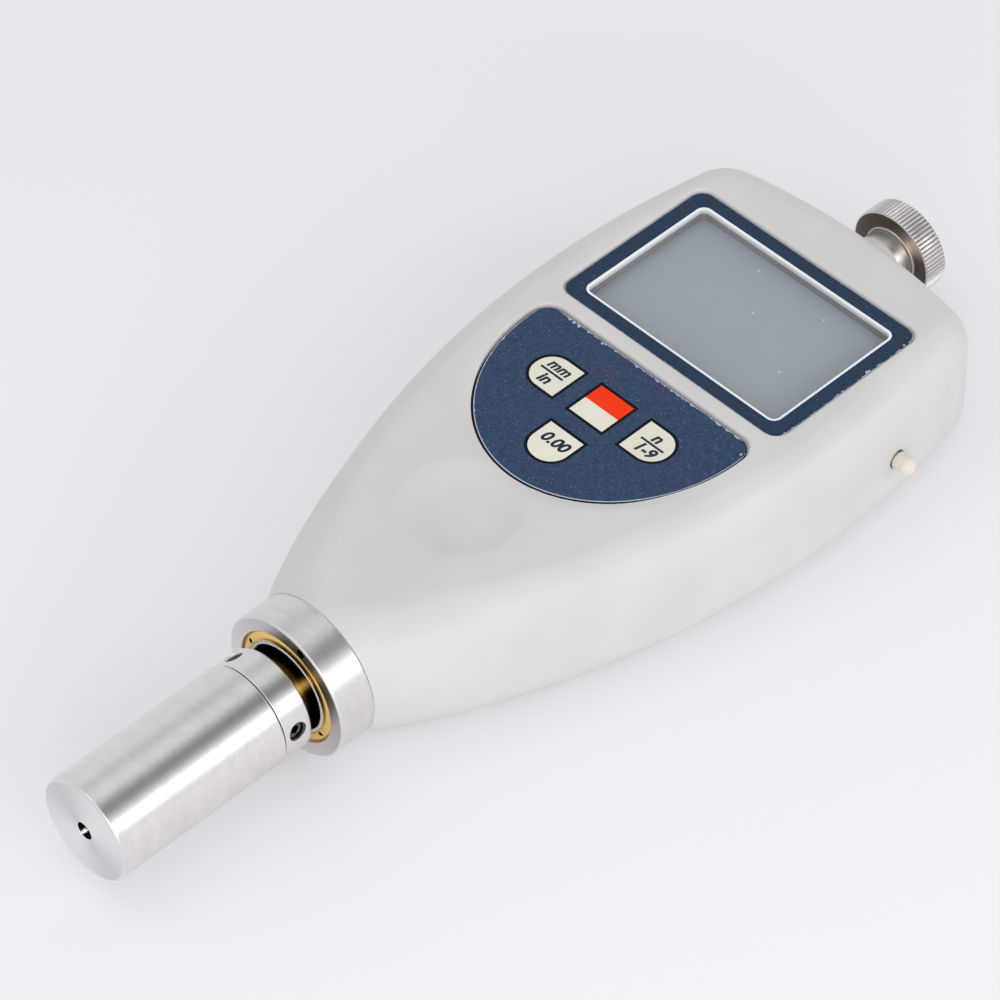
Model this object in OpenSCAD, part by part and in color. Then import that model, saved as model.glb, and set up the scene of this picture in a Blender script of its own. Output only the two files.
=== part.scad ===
// Hand-held surface roughness tester, lying on its back.
// Origin on the flat back face, +Y from the probe to the rear knob, +Z up, millimetres.

/* [Case] */
// Width across the widest point
case_w = 65; // [61:0.5:70]
// Thickness from back face to front face
case_t = 25.2; // [25.2:0.1:28]
// Front end of the case, where the flange ring sits
case_front_y = -42.6; // [-46:0.1:-40]
// Rear end of the case on its centre line
case_rear_y = 78.8; // [78:0.1:84]
// Plan radius of the bowed sides
side_r = 154; // [140:1:180]
// Place of the widest point along the case
widest_y = 38.7; // [34:0.1:44]
// Radius of the rounded edges
edge_r = 6.6; // [5:0.1:8]
// Diameter of the round neck
neck_d = 24.9; // [24.4:0.1:25]
// Length over which the neck blends into the flat case
neck_blend = 33; // [24:1:40]
// Plan radius of the bowed rear end
rear_arc_r = 115; // [90:1:150]
// Wall thickness
wall = 2; // [1.6:0.1:2.2]
// Length of the solid ring at the neck
bulkhead = 6.6; // [6:0.1:7]
// Radius of the thumb dimple
dimple_r = 10.2; // [8:0.1:11]
// Depth of the thumb dimple
dimple_depth = 0.5; // [0.3:0.1:0.7]
// Place of the thumb dimple along the case
dimple_y = -12.4; // [-14:0.1:-11]

/* [Display] */
// Width of the dark label round the window
label_w = 48; // [46:0.1:49]
// Height of the dark label round the window
label_h = 32.9; // [31:0.1:33.4]
// Middle of the display along the case
label_y = 49.1; // [48:0.1:50]
// Corner radius of the label
label_r = 2.4; // [1.5:0.1:3]
// Thickness of the label and of the keypad film
label_t = 0.4; // [0.3:0.05:0.5]
// How far both films lie below the front face
label_sink = 0.6; // [0.4:0.05:0.8]
// Width of the clear window
window_w = 41.6; // [39:0.1:42]
// Height of the clear window
window_h = 27.1; // [25:0.1:27.4]
// Overlap of the label on the window opening
window_lap = 0.15; // [0.1:0.05:0.3]
// Gap between a film or pane and its recess
film_gap = 0.15; // [0.1:0.05:0.2]
// Gap round the keypad film
pad_gap = 0.25; // [0.2:0.05:0.3]
// Thickness of the display glass
lcd_t = 1.8; // [1.6:0.1:2]
// Depth of the well above the display glass
lcd_drop = 1.6; // [1.4:0.1:1.8]
// Height of the elastic connectors under the glass
connector_h = 1.8; // [1.6:0.1:2]

/* [Keypad] */
// Half width of the keypad film
pad_half_w = 22.9; // [22.4:0.1:23.2]
// Front end of the keypad film
pad_front_y = -1.7; // [-2.5:0.1:-1.2]
// Line where the curved end meets the straight sides
pad_shoulder_y = 25.1; // [24.6:0.1:25.4]
// Rear end of the keypad film
pad_rear_y = 29.1; // [28.8:0.1:29.4]
// Rear corner radius of the keypad film
pad_r = 3.3; // [2.5:0.1:3.8]
// Side of a key
key_s = 8.1; // [7.8:0.1:8.4]
// Radius of the rounded end of a key
key_r = 3.9; // [3.4:0.1:4]
// Spacing of the keys across the case
key_pitch = 11; // [10.8:0.1:11.4]
// Middle of the row of three keys
key_row_y = 18.3; // [18.1:0.1:18.6]
// Middle of the single front key
key_front_y = 7.15; // [6.8:0.05:7.3]
// Gap round each key
key_gap = 0.3; // [0.25:0.05:0.4]
// Key travel
key_travel = 0.3; // [0.2:0.05:0.35]
// Radius of a switch plunger
plunger_r = 1.6; // [1.4:0.1:1.8]
// Height of a switch body
switch_h = 3.5; // [3.2:0.1:3.6]

/* [Probe] */
// Diameter of the measuring foot
foot_d = 18; // [17:0.1:18.6]
// Length of the measuring foot
foot_len = 32.6; // [31:0.1:34]
// Diameter of the stylus hole in the foot
foot_hole_d = 3; // [2.9:0.05:3.2]
// Diameter of the clamping collar
collar_d = 17.6; // [17:0.1:17.6]
// Length of the clamping collar
collar_len = 5.3; // [5:0.1:5.6]
// Gap between collar and flange ring
collar_gap = 2.6; // [2.6:0.1:3]
// Diameter of the flange ring
flange_d = 25.1; // [25:0.1:25.2]
// Length of the flange ring
flange_len = 6.8; // [6.6:0.1:7.2]
// Radius of the brass stem
stem_r = 6; // [5.9:0.05:6.1]
// Running clearance of the stem in its bush
stem_fit = 0.05; // [0.02:0.01:0.08]
// Radius of the stylus rod
stylus_r = 0.7; // [0.6:0.05:0.9]
// Running clearance of the stylus in its guide
stylus_fit = 0.05; // [0.02:0.01:0.08]
// How far the stylus tip stands out of the foot
tip_out = 0.9; // [0.5:0.1:1]
// Radius of the brass ring, outside
brass_r = 10; // [9.8:0.1:10.2]
// Radius of the brass ring, inside
brass_in_r = 8.15; // [8:0.05:8.3]
// Radius of a clamping screw
grub_r = 1.45; // [1.3:0.05:1.5]
// Angle of the first clamping screw
grub_turn = 8; // [0:1:119]

/* [Rear knob and side button] */
// Diameter of the knurled knob
knob_d = 16.3; // [14.5:0.1:16.5]
// Length of the knurled head
knob_len = 4.6; // [4.2:0.1:5]
// Rear end of the knob
knob_end_y = 90.2; // [90:0.1:91]
// Number of knurl grooves
knurl_n = 72; // [60:1:80]
// Radius of the fixed post
post_r = 4.9; // [4.5:0.1:5]
// Radius of the knob screw
shank_r = 2.95; // [2.8:0.05:3]
// Running clearance of the knob screw
shank_fit = 0.05; // [0.02:0.01:0.08]
// Place of the side button along the case
button_y = 52.7; // [51:0.1:54]
// Height of the side button
button_z = 11.8; // [11.4:0.1:12.2]
// Radius of the side button
button_r = 1.55; // [1.3:0.05:1.6]
// How far the side button stands out
button_out = 3.6; // [2.8:0.1:3.8]
// Gap round the side button
button_gap = 0.15; // [0.1:0.05:0.3]
// Side button travel
button_travel = 1.2; // [1:0.1:1.3]

/* [Battery bay] */
// Front end of the battery bay
bay_front_y = 11.6; // [11.4:0.1:12]
// Length of the battery bay
bay_len = 50.8; // [50.4:0.1:51]
// Thickness of the bay walls
bay_wall = 1.2; // [1:0.1:1.3]
// Thickness of the door
door_t = 1.3; // [1.2:0.1:1.4]
// Gap round the door
door_gap = 0.3; // [0.25:0.05:0.4]

/* [Hidden] */
$fn = 64;
axis_z = case_t / 2;
skin = 0.05;
front_z = case_t;
film_top = case_t - label_sink;
film_floor = film_top - label_t;
window_r = 1.2;
dimple_ball = (dimple_r * dimple_r / dimple_depth + dimple_depth) / 2;
pane_gap = 0.15;
lcd_edge = 0.95;
lcd_rim = 1.1;
strip_len = window_w - 1.6;
strip_w = 2;
roof_z = case_t - wall;
lcd_top = roof_z - lcd_drop;
plate_t = 0.5;
spring_room = 5.3;
contact_r = 3;
contact_wire = 0.35;
cell_gap = 0.15;
cell_len = bay_len - 2 * plate_t - spring_room;
bay_side = 10.6;
bay_w = case_w - 2 * bay_side;
cell_pitch = (bay_w - 0.6) / 4;
cell_r = cell_pitch / 2 - cell_gap;
bay_rear_y = bay_front_y + bay_len;
door_ledge = 0.6;
door_z = 0.45;
cell_z = door_z + door_t + 0.6 + cell_r;
bay_roof = cell_z + cell_r + 0.35;
board_t = 1.6;
board_top = roof_z - lcd_drop - lcd_t - connector_h;
board_bottom = board_top - board_t;
board_front_y = 1;
board_rear_y = 65;
board_post_r = 1.9;
board_post_x = bay_w / 2 + bay_wall + board_post_r - 0.1;
board_x = board_post_x + board_post_r;
board_pts = [[-19, board_front_y], [19, board_front_y], [board_x, 27], [board_x, board_rear_y],
    [-board_x, board_rear_y], [-board_x, 27]];
board_posts = [[-15, 3.8], [15, 3.8], [-board_post_x, 28.8], [board_post_x, 28.8]];
case_posts = [[-14.5, -19], [14.5, -19], [-21, 68.5], [21, 68.5]];
case_post_r = 2.8;
screw_r = 1.1;
screw_head_r = 2.2;
screw_len = axis_z + 3.4;
flange_y = case_front_y - flange_len;
collar_y = flange_y - collar_gap - collar_len;
foot_y = collar_y - foot_len;
spigot_r = 8.7;
spigot_end_y = case_front_y + bulkhead + 3;
bush_r = 7.2;
bush_front_y = case_front_y - 1;
stem_in_r = 4.2;
stem_front_y = foot_y + 12.2;
stem_end_y = case_front_y + 25.6;
seat_y = case_front_y + 28.6;
seat_t = 3;
seat_r = 9.4;
seat_hole_r = 2.5;
stop_y = spigot_end_y + 0.3;
stop_t = 2;
stop_r = spigot_r - 0.3;
spring_r = (stem_r + seat_r) / 2 - 0.3;
spring_wire = 0.45;
guide_y = stem_front_y + 0.8;
guide_len = 6;
shoulder_r = 2.4;
tip_len = 2;
coil_y = guide_y + guide_len + 5;
coil_len = 24;
bobbin_in_r = 2.3;
bobbin_r = 3;
bobbin_end = 1.5;
coil_r = stem_in_r - 0.3;
core_len = 16;
core_r = bobbin_in_r - 0.35;
core_y = coil_y + 4;
tail_y = core_y + core_len + 6;
tail_gap = 4;
plug_y = tail_y + tail_gap;
plug_len = 4;
plug_hole_r = 1;
hair_r = (stylus_r + bobbin_in_r) / 2;
hair_wire = 0.18;
knob_y = knob_end_y - knob_len;
knob_ease = 0.25;
knurl_r = 0.22;
knurl_out = 0.1;
post_ease = 0.3;
post_end_y = knob_y - 0.1;
post_head_t = 3;
post_head_r = post_r + 1.3;
post_head_y = case_rear_y - wall - post_head_t - 0.25;
button_face_x = half_w(button_y);
button_flange_r = 2.2;
button_flange_t = 0.7;
button_flange_x = wall + 0.4;
button_tail = 5.4;
button_tail_r = 0.85;
side_switch_x = button_flange_x + button_flange_t + button_travel + 0.4;
side_switch_t = 2.9;
key_x = [-key_pitch, 0, key_pitch, 0];
key_y = [key_row_y, key_row_y, key_row_y, key_front_y];
key_turn = [180, 0, 0, -90];

// Plan half width of the case at a place along it
function smooth(t) = let (u = min(max(t, 0), 1)) u * u * (3 - 2 * u);
function arc_w(y) = case_w / 2 - side_r + sqrt(side_r * side_r - (y - widest_y) * (y - widest_y));
function blend(y) = 1 - smooth((y - case_front_y) / neck_blend);
function half_w(y) = arc_w(y) + (neck_d / 2 - arc_w(case_front_y)) * blend(y);
function half_h(y) = case_t / 2 + skin
    - (case_t / 2 + skin - neck_d / 2) * (1 - smooth((y - case_front_y) / 12));
function corner(y) = edge_r + (neck_d / 2 - 0.4 - edge_r) * blend(y);

// The rear end is bowed, so the last sections bend with it
function bow(y) = smooth((y - case_rear_y + 45) / 40);
function bowed_w(y) = half_w(y - bow(y) * half_w(y) * half_w(y) / (2 * rear_arc_r));

// One rounded section, as points round the loop
function loop(w, h, r, nq, nf) = concat(
    [for (i = [0:nq]) [w - r + r * cos(90 * i / nq), h - r + r * sin(90 * i / nq)]],
    [for (i = [1:nf - 1]) [(w - r) * (1 - 2 * i / nf), h]],
    [for (i = [0:nq]) [r - w - r * sin(90 * i / nq), h - r + r * cos(90 * i / nq)]],
    [for (i = [0:nq]) [r - w - r * cos(90 * i / nq), r - h - r * sin(90 * i / nq)]],
    [for (i = [1:nf - 1]) [(r - w) * (1 - 2 * i / nf), -h]],
    [for (i = [0:nq]) [w - r + r * sin(90 * i / nq), r - h - r * cos(90 * i / nq)]]);
function placed(pts, y, b) = [for (p = pts) [p[0], y - b * p[0] * p[0] / (2 * rear_arc_r), axis_z + p[1]]];

// Solid case form, drawn in from the outside by an inset
module case_form(inset, y0, n_y, n_r, nq, nf) {
    er = edge_r - inset;
    y1 = case_rear_y - inset - er;
    body = [for (i = [0:n_y]) let (y = y0 + (y1 - y0) * i / n_y)
        placed(loop(bowed_w(y) - inset, half_h(y) - inset, corner(y) - inset, nq, nf), y, bow(y))];
    tail = [for (i = [1:n_r]) let (a = 90 * i / n_r, d = er * (1 - cos(a)), y = y1 + er * sin(a))
        placed(loop(bowed_w(y1) - inset - d, half_h(y1) - inset - d, er * cos(a) + 0.6 * sin(a), nq, nf),
            y, 1)];
    rings = concat(body, tail);
    n = len(rings[0]);
    last = (len(rings) - 1) * n;
    sides = [for (i = [0:len(rings) - 2]) for (j = [0:n - 1]) let (k = (j + 1) % n)
        [i * n + j, i * n + k, (i + 1) * n + k, (i + 1) * n + j]];
    front_cap = [[for (j = [n - 1:-1:0]) j]];
    rear_cap = [for (j = [0:n / 2 - 2]) [last + j, last + j + 1, last + n - 2 - j, last + n - 1 - j]];
    polyhedron(points = [for (r = rings) for (p = r) p], faces = concat(sides, front_cap, rear_cap),
        convexity = 6);
}

module case_outer() {
    case_form(0, case_front_y, 26, 7, 7, 6);
}

module case_inner() {
    case_form(wall, case_front_y + bulkhead, 14, 4, 4, 4);
}

// A cylinder along the probe axis
module rod(y, h, r) {
    translate([0, y, axis_z]) rotate([-90, 0, 0]) cylinder(h = h, r = r);
}

// A turned form from a profile of radius and place along the axis
module turned(pts) {
    translate([0, 0, axis_z]) rotate([-90, 0, 0]) rotate_extrude() polygon(pts);
}

module slab(x0, x1, y0, y1, z0, z1) {
    translate([x0, y0, z0]) cube([x1 - x0, y1 - y0, z1 - z0]);
}

module rounded_2d(w, h, r) {
    square([w - 2 * r, h], center = true);
    square([w, h - 2 * r], center = true);
    for (x = [r - w / 2, w / 2 - r], y = [r - h / 2, h / 2 - r])
        translate([x, y]) circle(r = r);
}

// A key outline with its rounded end to +X
module dee_2d(g) {
    s = key_s / 2 + g;
    r = key_r + g;
    translate([-s, -s]) square([2 * s - r, 2 * s]);
    translate([0, r - s]) square([s, 2 * s - 2 * r]);
    for (y = [r - s, s - r])
        translate([s - r, y]) circle(r = r);
}

module key_2d(i, g) {
    translate([key_x[i], key_y[i]]) {
        if (i == 1) square(key_s + 2 * g, center = true);
        else rotate(key_turn[i]) dee_2d(g);
    }
}

// The keypad film: half an ellipse with a straight rear edge
module pad_2d(g) {
    a = pad_half_w + g;
    b = pad_shoulder_y - pad_front_y + g;
    r = pad_r + g;
    top = pad_rear_y + g;
    polygon(concat(
        [for (i = [0:48]) [a * cos(180 + 180 * i / 48), pad_shoulder_y + b * sin(180 + 180 * i / 48)]],
        [for (i = [0:8]) [a - r + r * cos(90 * i / 8), top - r + r * sin(90 * i / 8)]],
        [for (i = [0:8]) [r - a - r * sin(90 * i / 8), top - r + r * cos(90 * i / 8)]]));
}

// A wire coil along +Z, starting at z = 0
module coil_spring(r, wire, h, turns) {
    steps = 14 * turns;
    n = 6;
    pts = [for (i = [0:steps]) for (j = [0:n - 1]) let (a = 360 * turns * i / steps, b = 360 * j / n)
        [(r + wire * cos(b)) * cos(a), (r + wire * cos(b)) * sin(a),
            wire + (h - 2 * wire) * i / steps + wire * sin(b)]];
    sides = [for (i = [0:steps - 1]) for (j = [0:n - 1]) let (k = (j + 1) % n)
        [i * n + j, i * n + k, (i + 1) * n + k, (i + 1) * n + j]];
    ends = [[for (j = [n - 1:-1:0]) j], [for (j = [0:n - 1]) steps * n + j]];
    polyhedron(points = pts, faces = concat(sides, ends), convexity = 8);
}

// Holes that both halves of the case share
module shared_holes() {
    rod(case_front_y - 1, bulkhead + 2, spigot_r + 0.05);
    rod(case_rear_y - 8, 12, post_r + 0.05);
    translate([button_face_x - 6, button_y, button_z]) rotate([0, 90, 0])
        cylinder(h = 12, r = button_r + button_gap);
}

module front_shell() {
    color("gainsboro")
    difference() {
        union() {
            difference() {
                intersection() {
                    case_outer();
                    slab(-60, 60, -60, 100, axis_z, front_z);
                }
                case_inner();
            }
            for (p = board_posts)
                translate([p[0], p[1], board_top]) cylinder(h = roof_z + 0.5 - board_top, r = board_post_r);
            for (p = case_posts)
                translate([p[0], p[1], axis_z]) cylinder(h = roof_z + 0.2 - axis_z, r = case_post_r);
            slab(-10, 10, seat_y + seat_t, seat_y + seat_t + 2, axis_z, roof_z + 0.2);
            slab(-9, 9, post_head_y - 2, post_head_y, axis_z, roof_z + 0.2);
        }
        shared_holes();
        rod(seat_y, 8, 3);
        for (p = board_posts)
            translate([p[0], p[1], board_top - 1]) cylinder(h = 5.2, r = 0.8);
        for (p = case_posts)
            translate([p[0], p[1], axis_z - 1]) cylinder(h = 8, r = screw_r);
        translate([0, label_y, film_floor]) linear_extrude(5)
            rounded_2d(label_w + 2 * film_gap, label_h + 2 * film_gap, label_r + film_gap);
        translate([0, label_y, roof_z - 1]) linear_extrude(5)
            rounded_2d(window_w + 2 * window_lap, window_h + 2 * window_lap, window_r + window_lap);
        translate([0, 0, film_floor]) linear_extrude(5) pad_2d(pad_gap);
        for (i = [0:3])
            translate([0, 0, roof_z - 1]) linear_extrude(5) key_2d(i, 2 * key_gap);
        translate([0, dimple_y, front_z - dimple_depth + dimple_ball]) sphere(r = dimple_ball, $fn = 96);
    }
}

module rear_shell() {
    color("gainsboro")
    difference() {
        union() {
            difference() {
                intersection() {
                    case_outer();
                    slab(-60, 60, -60, 100, 0, axis_z);
                }
                case_inner();
            }
            for (p = case_posts)
                translate([p[0], p[1], wall - 0.5]) cylinder(h = axis_z - wall + 0.5, r = case_post_r);
            slab(-10, 10, seat_y + seat_t, seat_y + seat_t + 2, wall - 0.5, axis_z);
            slab(-9, 9, post_head_y - 2, post_head_y, wall - 0.2, axis_z);
            slab(-bay_w / 2 - bay_wall, bay_w / 2 + bay_wall, bay_front_y - bay_wall, bay_rear_y + bay_wall,
                wall - 0.5, bay_roof + bay_wall);
        }
        shared_holes();
        rod(seat_y, 8, 3);
        slab(-bay_w / 2, bay_w / 2, bay_front_y, bay_rear_y, -1, bay_roof);
        slab(-bay_w / 2 - door_ledge, bay_w / 2 + door_ledge,
            bay_front_y - door_ledge, bay_rear_y + door_ledge, -1, door_z + door_t + 0.15);
        for (x = [-12, 12])
            slab(x - 3.4, x + 3.4, bay_front_y - 2.1, bay_front_y + 1, 0.7, 4);
        for (p = case_posts) {
            translate([p[0], p[1], -1]) cylinder(h = 4, r = screw_head_r + 0.3);
            translate([p[0], p[1], 2]) cylinder(h = 14, r = screw_r + 0.3);
        }
        translate([0, bay_rear_y + 3.4, -6.8]) sphere(r = 8);
    }
}

module battery_door() {
    color("gainsboro")
    difference() {
        union() {
            slab(door_gap - bay_w / 2 - door_ledge, bay_w / 2 + door_ledge - door_gap,
                bay_front_y - door_ledge + door_gap, bay_rear_y + door_ledge - door_gap,
                door_z, door_z + door_t);
            for (x = [-12, 12])
                slab(x - 3, x + 3, bay_front_y - 1.7, bay_front_y, door_z + door_t / 2, door_z + door_t);
        }
        for (i = [0:4])
            slab(-7, 7, bay_rear_y - 4 - 2 * i, bay_rear_y - 3 - 2 * i, -1, door_z + 0.4);
    }
}

// Cells lie head to tail
module in_bay() {
    for (i = [0:3])
        translate([(i - 1.5) * cell_pitch, bay_front_y + bay_len / 2, cell_z])
            rotate([0, 0, i % 2 == 0 ? 0 : 180]) children();
}

module battery_cells() {
    color("dimgray")
    in_bay() translate([0, bay_len / 2 - plate_t - cell_len, 0]) rotate([-90, 0, 0]) {
        cylinder(h = cell_len - 1.2, r = cell_r);
        cylinder(h = cell_len, r = 1.9);
    }
}

module contact_springs() {
    color("silver")
    in_bay() translate([0, plate_t - bay_len / 2 + 0.02, 0]) rotate([-90, 0, 0])
        coil_spring(contact_r, contact_wire, bay_len - 2 * plate_t - cell_len - 0.04, 4);
}

module contact_plates() {
    color("silver")
    for (i = [0:3])
        for (y = [bay_front_y, bay_rear_y - plate_t])
            translate([(i - 1.5) * cell_pitch - 4.2, y, cell_z - 4]) cube([8.4, plate_t, 8]);
}

module display_label() {
    color("midnightblue")
    translate([0, label_y, film_floor]) linear_extrude(label_t) difference() {
        rounded_2d(label_w, label_h, label_r);
        rounded_2d(window_w, window_h, window_r);
    }
}

module display_lens() {
    color("lightcyan", 0.4)
    translate([0, label_y, roof_z]) linear_extrude(film_floor - roof_z)
        rounded_2d(window_w + 2 * (window_lap - pane_gap), window_h + 2 * (window_lap - pane_gap), window_r);
}

module lcd_glass() {
    color("lightslategray")
    translate([0, label_y, lcd_top - lcd_t]) linear_extrude(lcd_t)
        square([window_w + 2 * lcd_edge, window_h + 2 * lcd_edge], center = true);
}

// The frame holds the glass under a lip that is as wide as the window opening
module lcd_frame() {
    fit = 2 * lcd_edge + 0.2;
    color("gray")
    translate([0, label_y, board_top]) difference() {
        linear_extrude(roof_z - board_top)
            square([window_w + fit + 2 * lcd_rim, window_h + fit + 2 * lcd_rim], center = true);
        translate([0, 0, -1]) linear_extrude(lcd_top - board_top + 1)
            square([window_w + fit, window_h + fit], center = true);
        linear_extrude(roof_z - board_top + 1)
            rounded_2d(window_w + 2 * window_lap, window_h + 2 * window_lap, window_r + window_lap);
    }
}

module lcd_connectors() {
    color("hotpink")
    for (y = [-1, 1])
        translate([-strip_len / 2, label_y + y * (window_h / 2 - 0.8) - strip_w / 2, board_top])
            cube([strip_len, strip_w, connector_h]);
}

module keypad_overlay() {
    color("midnightblue")
    translate([0, 0, film_floor]) linear_extrude(label_t) difference() {
        pad_2d(0);
        for (i = [0:3])
            key_2d(i, key_gap);
    }
}

module key_film(i) {
    translate([0, 0, film_floor]) linear_extrude(label_t) key_2d(i, 0);
}

module unit_key() {
    color("ivory") key_film(0);
}

module power_key() {
    color("orangered") key_film(1);
}

module average_key() {
    color("ivory") key_film(2);
}

module zero_key() {
    color("ivory") key_film(3);
}

// The moving pin of one key switch
module plunger(i) {
    z0 = board_top + switch_h - 1.5;
    translate([key_x[i], key_y[i], z0]) cylinder(h = film_floor - z0, r = plunger_r);
}

module unit_plunger() {
    color("dimgray") plunger(0);
}

module power_plunger() {
    color("dimgray") plunger(1);
}

module average_plunger() {
    color("dimgray") plunger(2);
}

module zero_plunger() {
    color("dimgray") plunger(3);
}

module key_switches() {
    color("black")
    for (i = [0:3])
        translate([key_x[i], key_y[i], board_top]) difference() {
            translate([-3, -3, 0]) cube([6, 6, switch_h]);
            translate([0, 0, switch_h - 1.5 - key_travel - 0.3]) cylinder(h = 5, r = plunger_r + 0.3);
        }
}

module main_board() {
    color("darkgreen")
    difference() {
        translate([0, 0, board_bottom]) linear_extrude(board_t) polygon(board_pts);
        for (p = board_posts)
            translate([p[0], p[1], board_bottom - 1]) cylinder(h = 4, r = 1.1);
    }
}

module controller_chip() {
    color("black")
    slab(-19.5, -12.5, 6, 13, board_top, board_top + 1.4);
}

module board_screws() {
    color("silver")
    for (p = board_posts)
        translate([p[0], p[1], board_bottom - 1.2]) difference() {
            union() {
                cylinder(h = 1.2, r = 1.7);
                cylinder(h = 6, r = 0.8);
            }
            for (a = [0, 90])
                rotate(a) translate([-1, -0.2, -1]) cube([2, 0.4, 1.6]);
        }
}

module side_switch() {
    color("black")
    difference() {
        slab(button_face_x - side_switch_x - side_switch_t, button_face_x - side_switch_x,
            button_y - 3, button_y + 3, button_z - 3.2, board_bottom);
        translate([button_face_x - button_tail - button_travel - 0.3, button_y, button_z]) rotate([0, 90, 0])
            cylinder(h = 8, r = button_tail_r + 0.35);
    }
}

module side_button() {
    color("ivory")
    translate([button_face_x, button_y, button_z]) rotate([0, 90, 0]) rotate_extrude()
        polygon(concat(
            [[0, -button_tail], [button_tail_r, -button_tail],
                [button_tail_r, -button_flange_x - button_flange_t],
                [button_flange_r, -button_flange_x - button_flange_t],
                [button_flange_r, -button_flange_x], [button_r, -button_flange_x]],
            [for (i = [0:8]) [button_r * cos(90 * i / 8), button_out - button_r * (1 - sin(90 * i / 8))]]));
}

module flange_ring() {
    color("silver")
    difference() {
        turned([[bush_r, bush_front_y], [brass_in_r, bush_front_y], [brass_in_r, flange_y + 3.2],
            [brass_r, flange_y + 3.2], [brass_r, flange_y], [flange_d / 2 - 0.3, flange_y],
            [flange_d / 2, flange_y + 0.3], [flange_d / 2, case_front_y], [spigot_r, case_front_y],
            [spigot_r, spigot_end_y], [bush_r, spigot_end_y]]);
        for (a = [70, 250])
            translate([0, flange_y - 1, axis_z]) rotate([-90, -a, 0]) translate([11.3, 0, 0])
                cylinder(h = 4, r = 0.8);
    }
}

module flange_nut() {
    color("silver")
    turned([[spigot_r, case_front_y + bulkhead], [10.2, case_front_y + bulkhead],
        [10.2, spigot_end_y - 0.4], [spigot_r, spigot_end_y - 0.4]]);
}

module retaining_ring() {
    color("goldenrod")
    difference() {
        turned([[brass_in_r, flange_y + 0.2], [brass_r - 0.5, flange_y + 0.2], [brass_r, flange_y + 0.7],
            [brass_r, flange_y + 3.2], [brass_in_r, flange_y + 3.2]]);
        for (a = [149, 329])
            translate([0, flange_y - 1, axis_z]) rotate([-90, -a, 0]) translate([8.85, 0, 0])
                cylinder(h = 2.8, r = 0.45);
    }
}

module liner_ring() {
    color("whitesmoke")
    turned([[brass_in_r - 0.4, flange_y + 0.4], [brass_in_r, flange_y + 0.4], [brass_in_r, bush_front_y],
        [brass_in_r - 0.4, bush_front_y]]);
}

module guide_bush() {
    color("burlywood")
    turned([[stem_r + stem_fit, bush_front_y + 0.1], [bush_r, bush_front_y + 0.1],
        [bush_r, spigot_end_y - 0.2], [stem_r + stem_fit, spigot_end_y - 0.2]]);
}

module foot() {
    color("silver")
    turned([[foot_hole_d / 2, foot_y + 0.15], [foot_hole_d / 2 + 0.15, foot_y], [foot_d / 2 - 0.4, foot_y],
        [foot_d / 2, foot_y + 0.4], [foot_d / 2, collar_y - 0.2], [foot_d / 2 - 0.2, collar_y],
        [stem_r, collar_y], [stem_r, foot_y + 12], [foot_hole_d / 2, foot_y + 12]]);
}

module foot_collar() {
    color("silver")
    difference() {
        turned([[stem_r, collar_y], [collar_d / 2 - 0.2, collar_y], [collar_d / 2, collar_y + 0.2],
            [collar_d / 2, collar_y + collar_len - 0.2], [collar_d / 2 - 0.2, collar_y + collar_len],
            [stem_r, collar_y + collar_len]]);
        for (i = [0:2])
            translate([0, collar_y + 2.5, axis_z]) rotate([0, 90 - grub_turn - 120 * i, 0])
                cylinder(h = 12, r = grub_r + 0.03);
    }
}

module clamp_screws() {
    color("dimgray")
    for (i = [0:2])
        translate([0, collar_y + 2.5, axis_z]) rotate([0, 90 - grub_turn - 120 * i, 0]) difference() {
            translate([0, 0, stem_r + 0.02]) cylinder(h = collar_d / 2 - stem_r - 0.8, r = grub_r);
            translate([0, 0, collar_d / 2 - 2]) cylinder(h = 3, r = 0.8, $fn = 6);
        }
}

module probe_stem() {
    color("goldenrod")
    turned([[stem_in_r, stem_front_y], [stem_r, stem_front_y],
        [stem_r, stem_end_y], [stem_in_r, stem_end_y]]);
}

module stem_stop() {
    color("silver")
    turned([[stem_r, stop_y], [stop_r, stop_y], [stop_r, stop_y + stop_t], [stem_r, stop_y + stop_t]]);
}

module probe_spring() {
    color("silver")
    translate([0, stop_y + stop_t + 0.05, axis_z]) rotate([-90, 0, 0])
        coil_spring(spring_r, spring_wire, seat_y - stop_y - stop_t - 0.1, 6);
}

module spring_seat() {
    color("burlywood")
    turned([[seat_hole_r, seat_y], [seat_r, seat_y],
        [seat_r, seat_y + seat_t], [seat_hole_r, seat_y + seat_t]]);
}

module stylus() {
    color("silver")
    turned([[0, foot_y - tip_out], [0.06, foot_y - tip_out], [stylus_r, foot_y - tip_out + tip_len],
        [stylus_r, guide_y + guide_len + 0.1], [shoulder_r, guide_y + guide_len + 0.1],
        [shoulder_r, guide_y + guide_len + 1.1], [stylus_r, guide_y + guide_len + 1.1],
        [stylus_r, tail_y], [0, tail_y]]);
}

module stylus_guide() {
    color("goldenrod")
    turned([[stylus_r + stylus_fit, guide_y], [stem_in_r, guide_y], [stem_in_r, guide_y + guide_len],
        [stylus_r + stylus_fit, guide_y + guide_len]]);
}

module stylus_spring() {
    color("silver")
    translate([0, core_y + core_len + 0.05, axis_z]) rotate([-90, 0, 0])
        coil_spring(hair_r, hair_wire, plug_y - core_y - core_len - 0.1, 8);
}

module sensor_core() {
    color("dimgray")
    turned([[stylus_r, core_y], [core_r, core_y],
        [core_r, core_y + core_len], [stylus_r, core_y + core_len]]);
}

module coil_bobbin() {
    y1 = coil_y + coil_len;
    color("ivory")
    turned([[bobbin_in_r, coil_y], [stem_in_r, coil_y],
        [stem_in_r, coil_y + bobbin_end], [bobbin_r, coil_y + bobbin_end],
        [bobbin_r, y1 - bobbin_end], [stem_in_r, y1 - bobbin_end], [stem_in_r, y1], [bobbin_in_r, y1]]);
}

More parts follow.
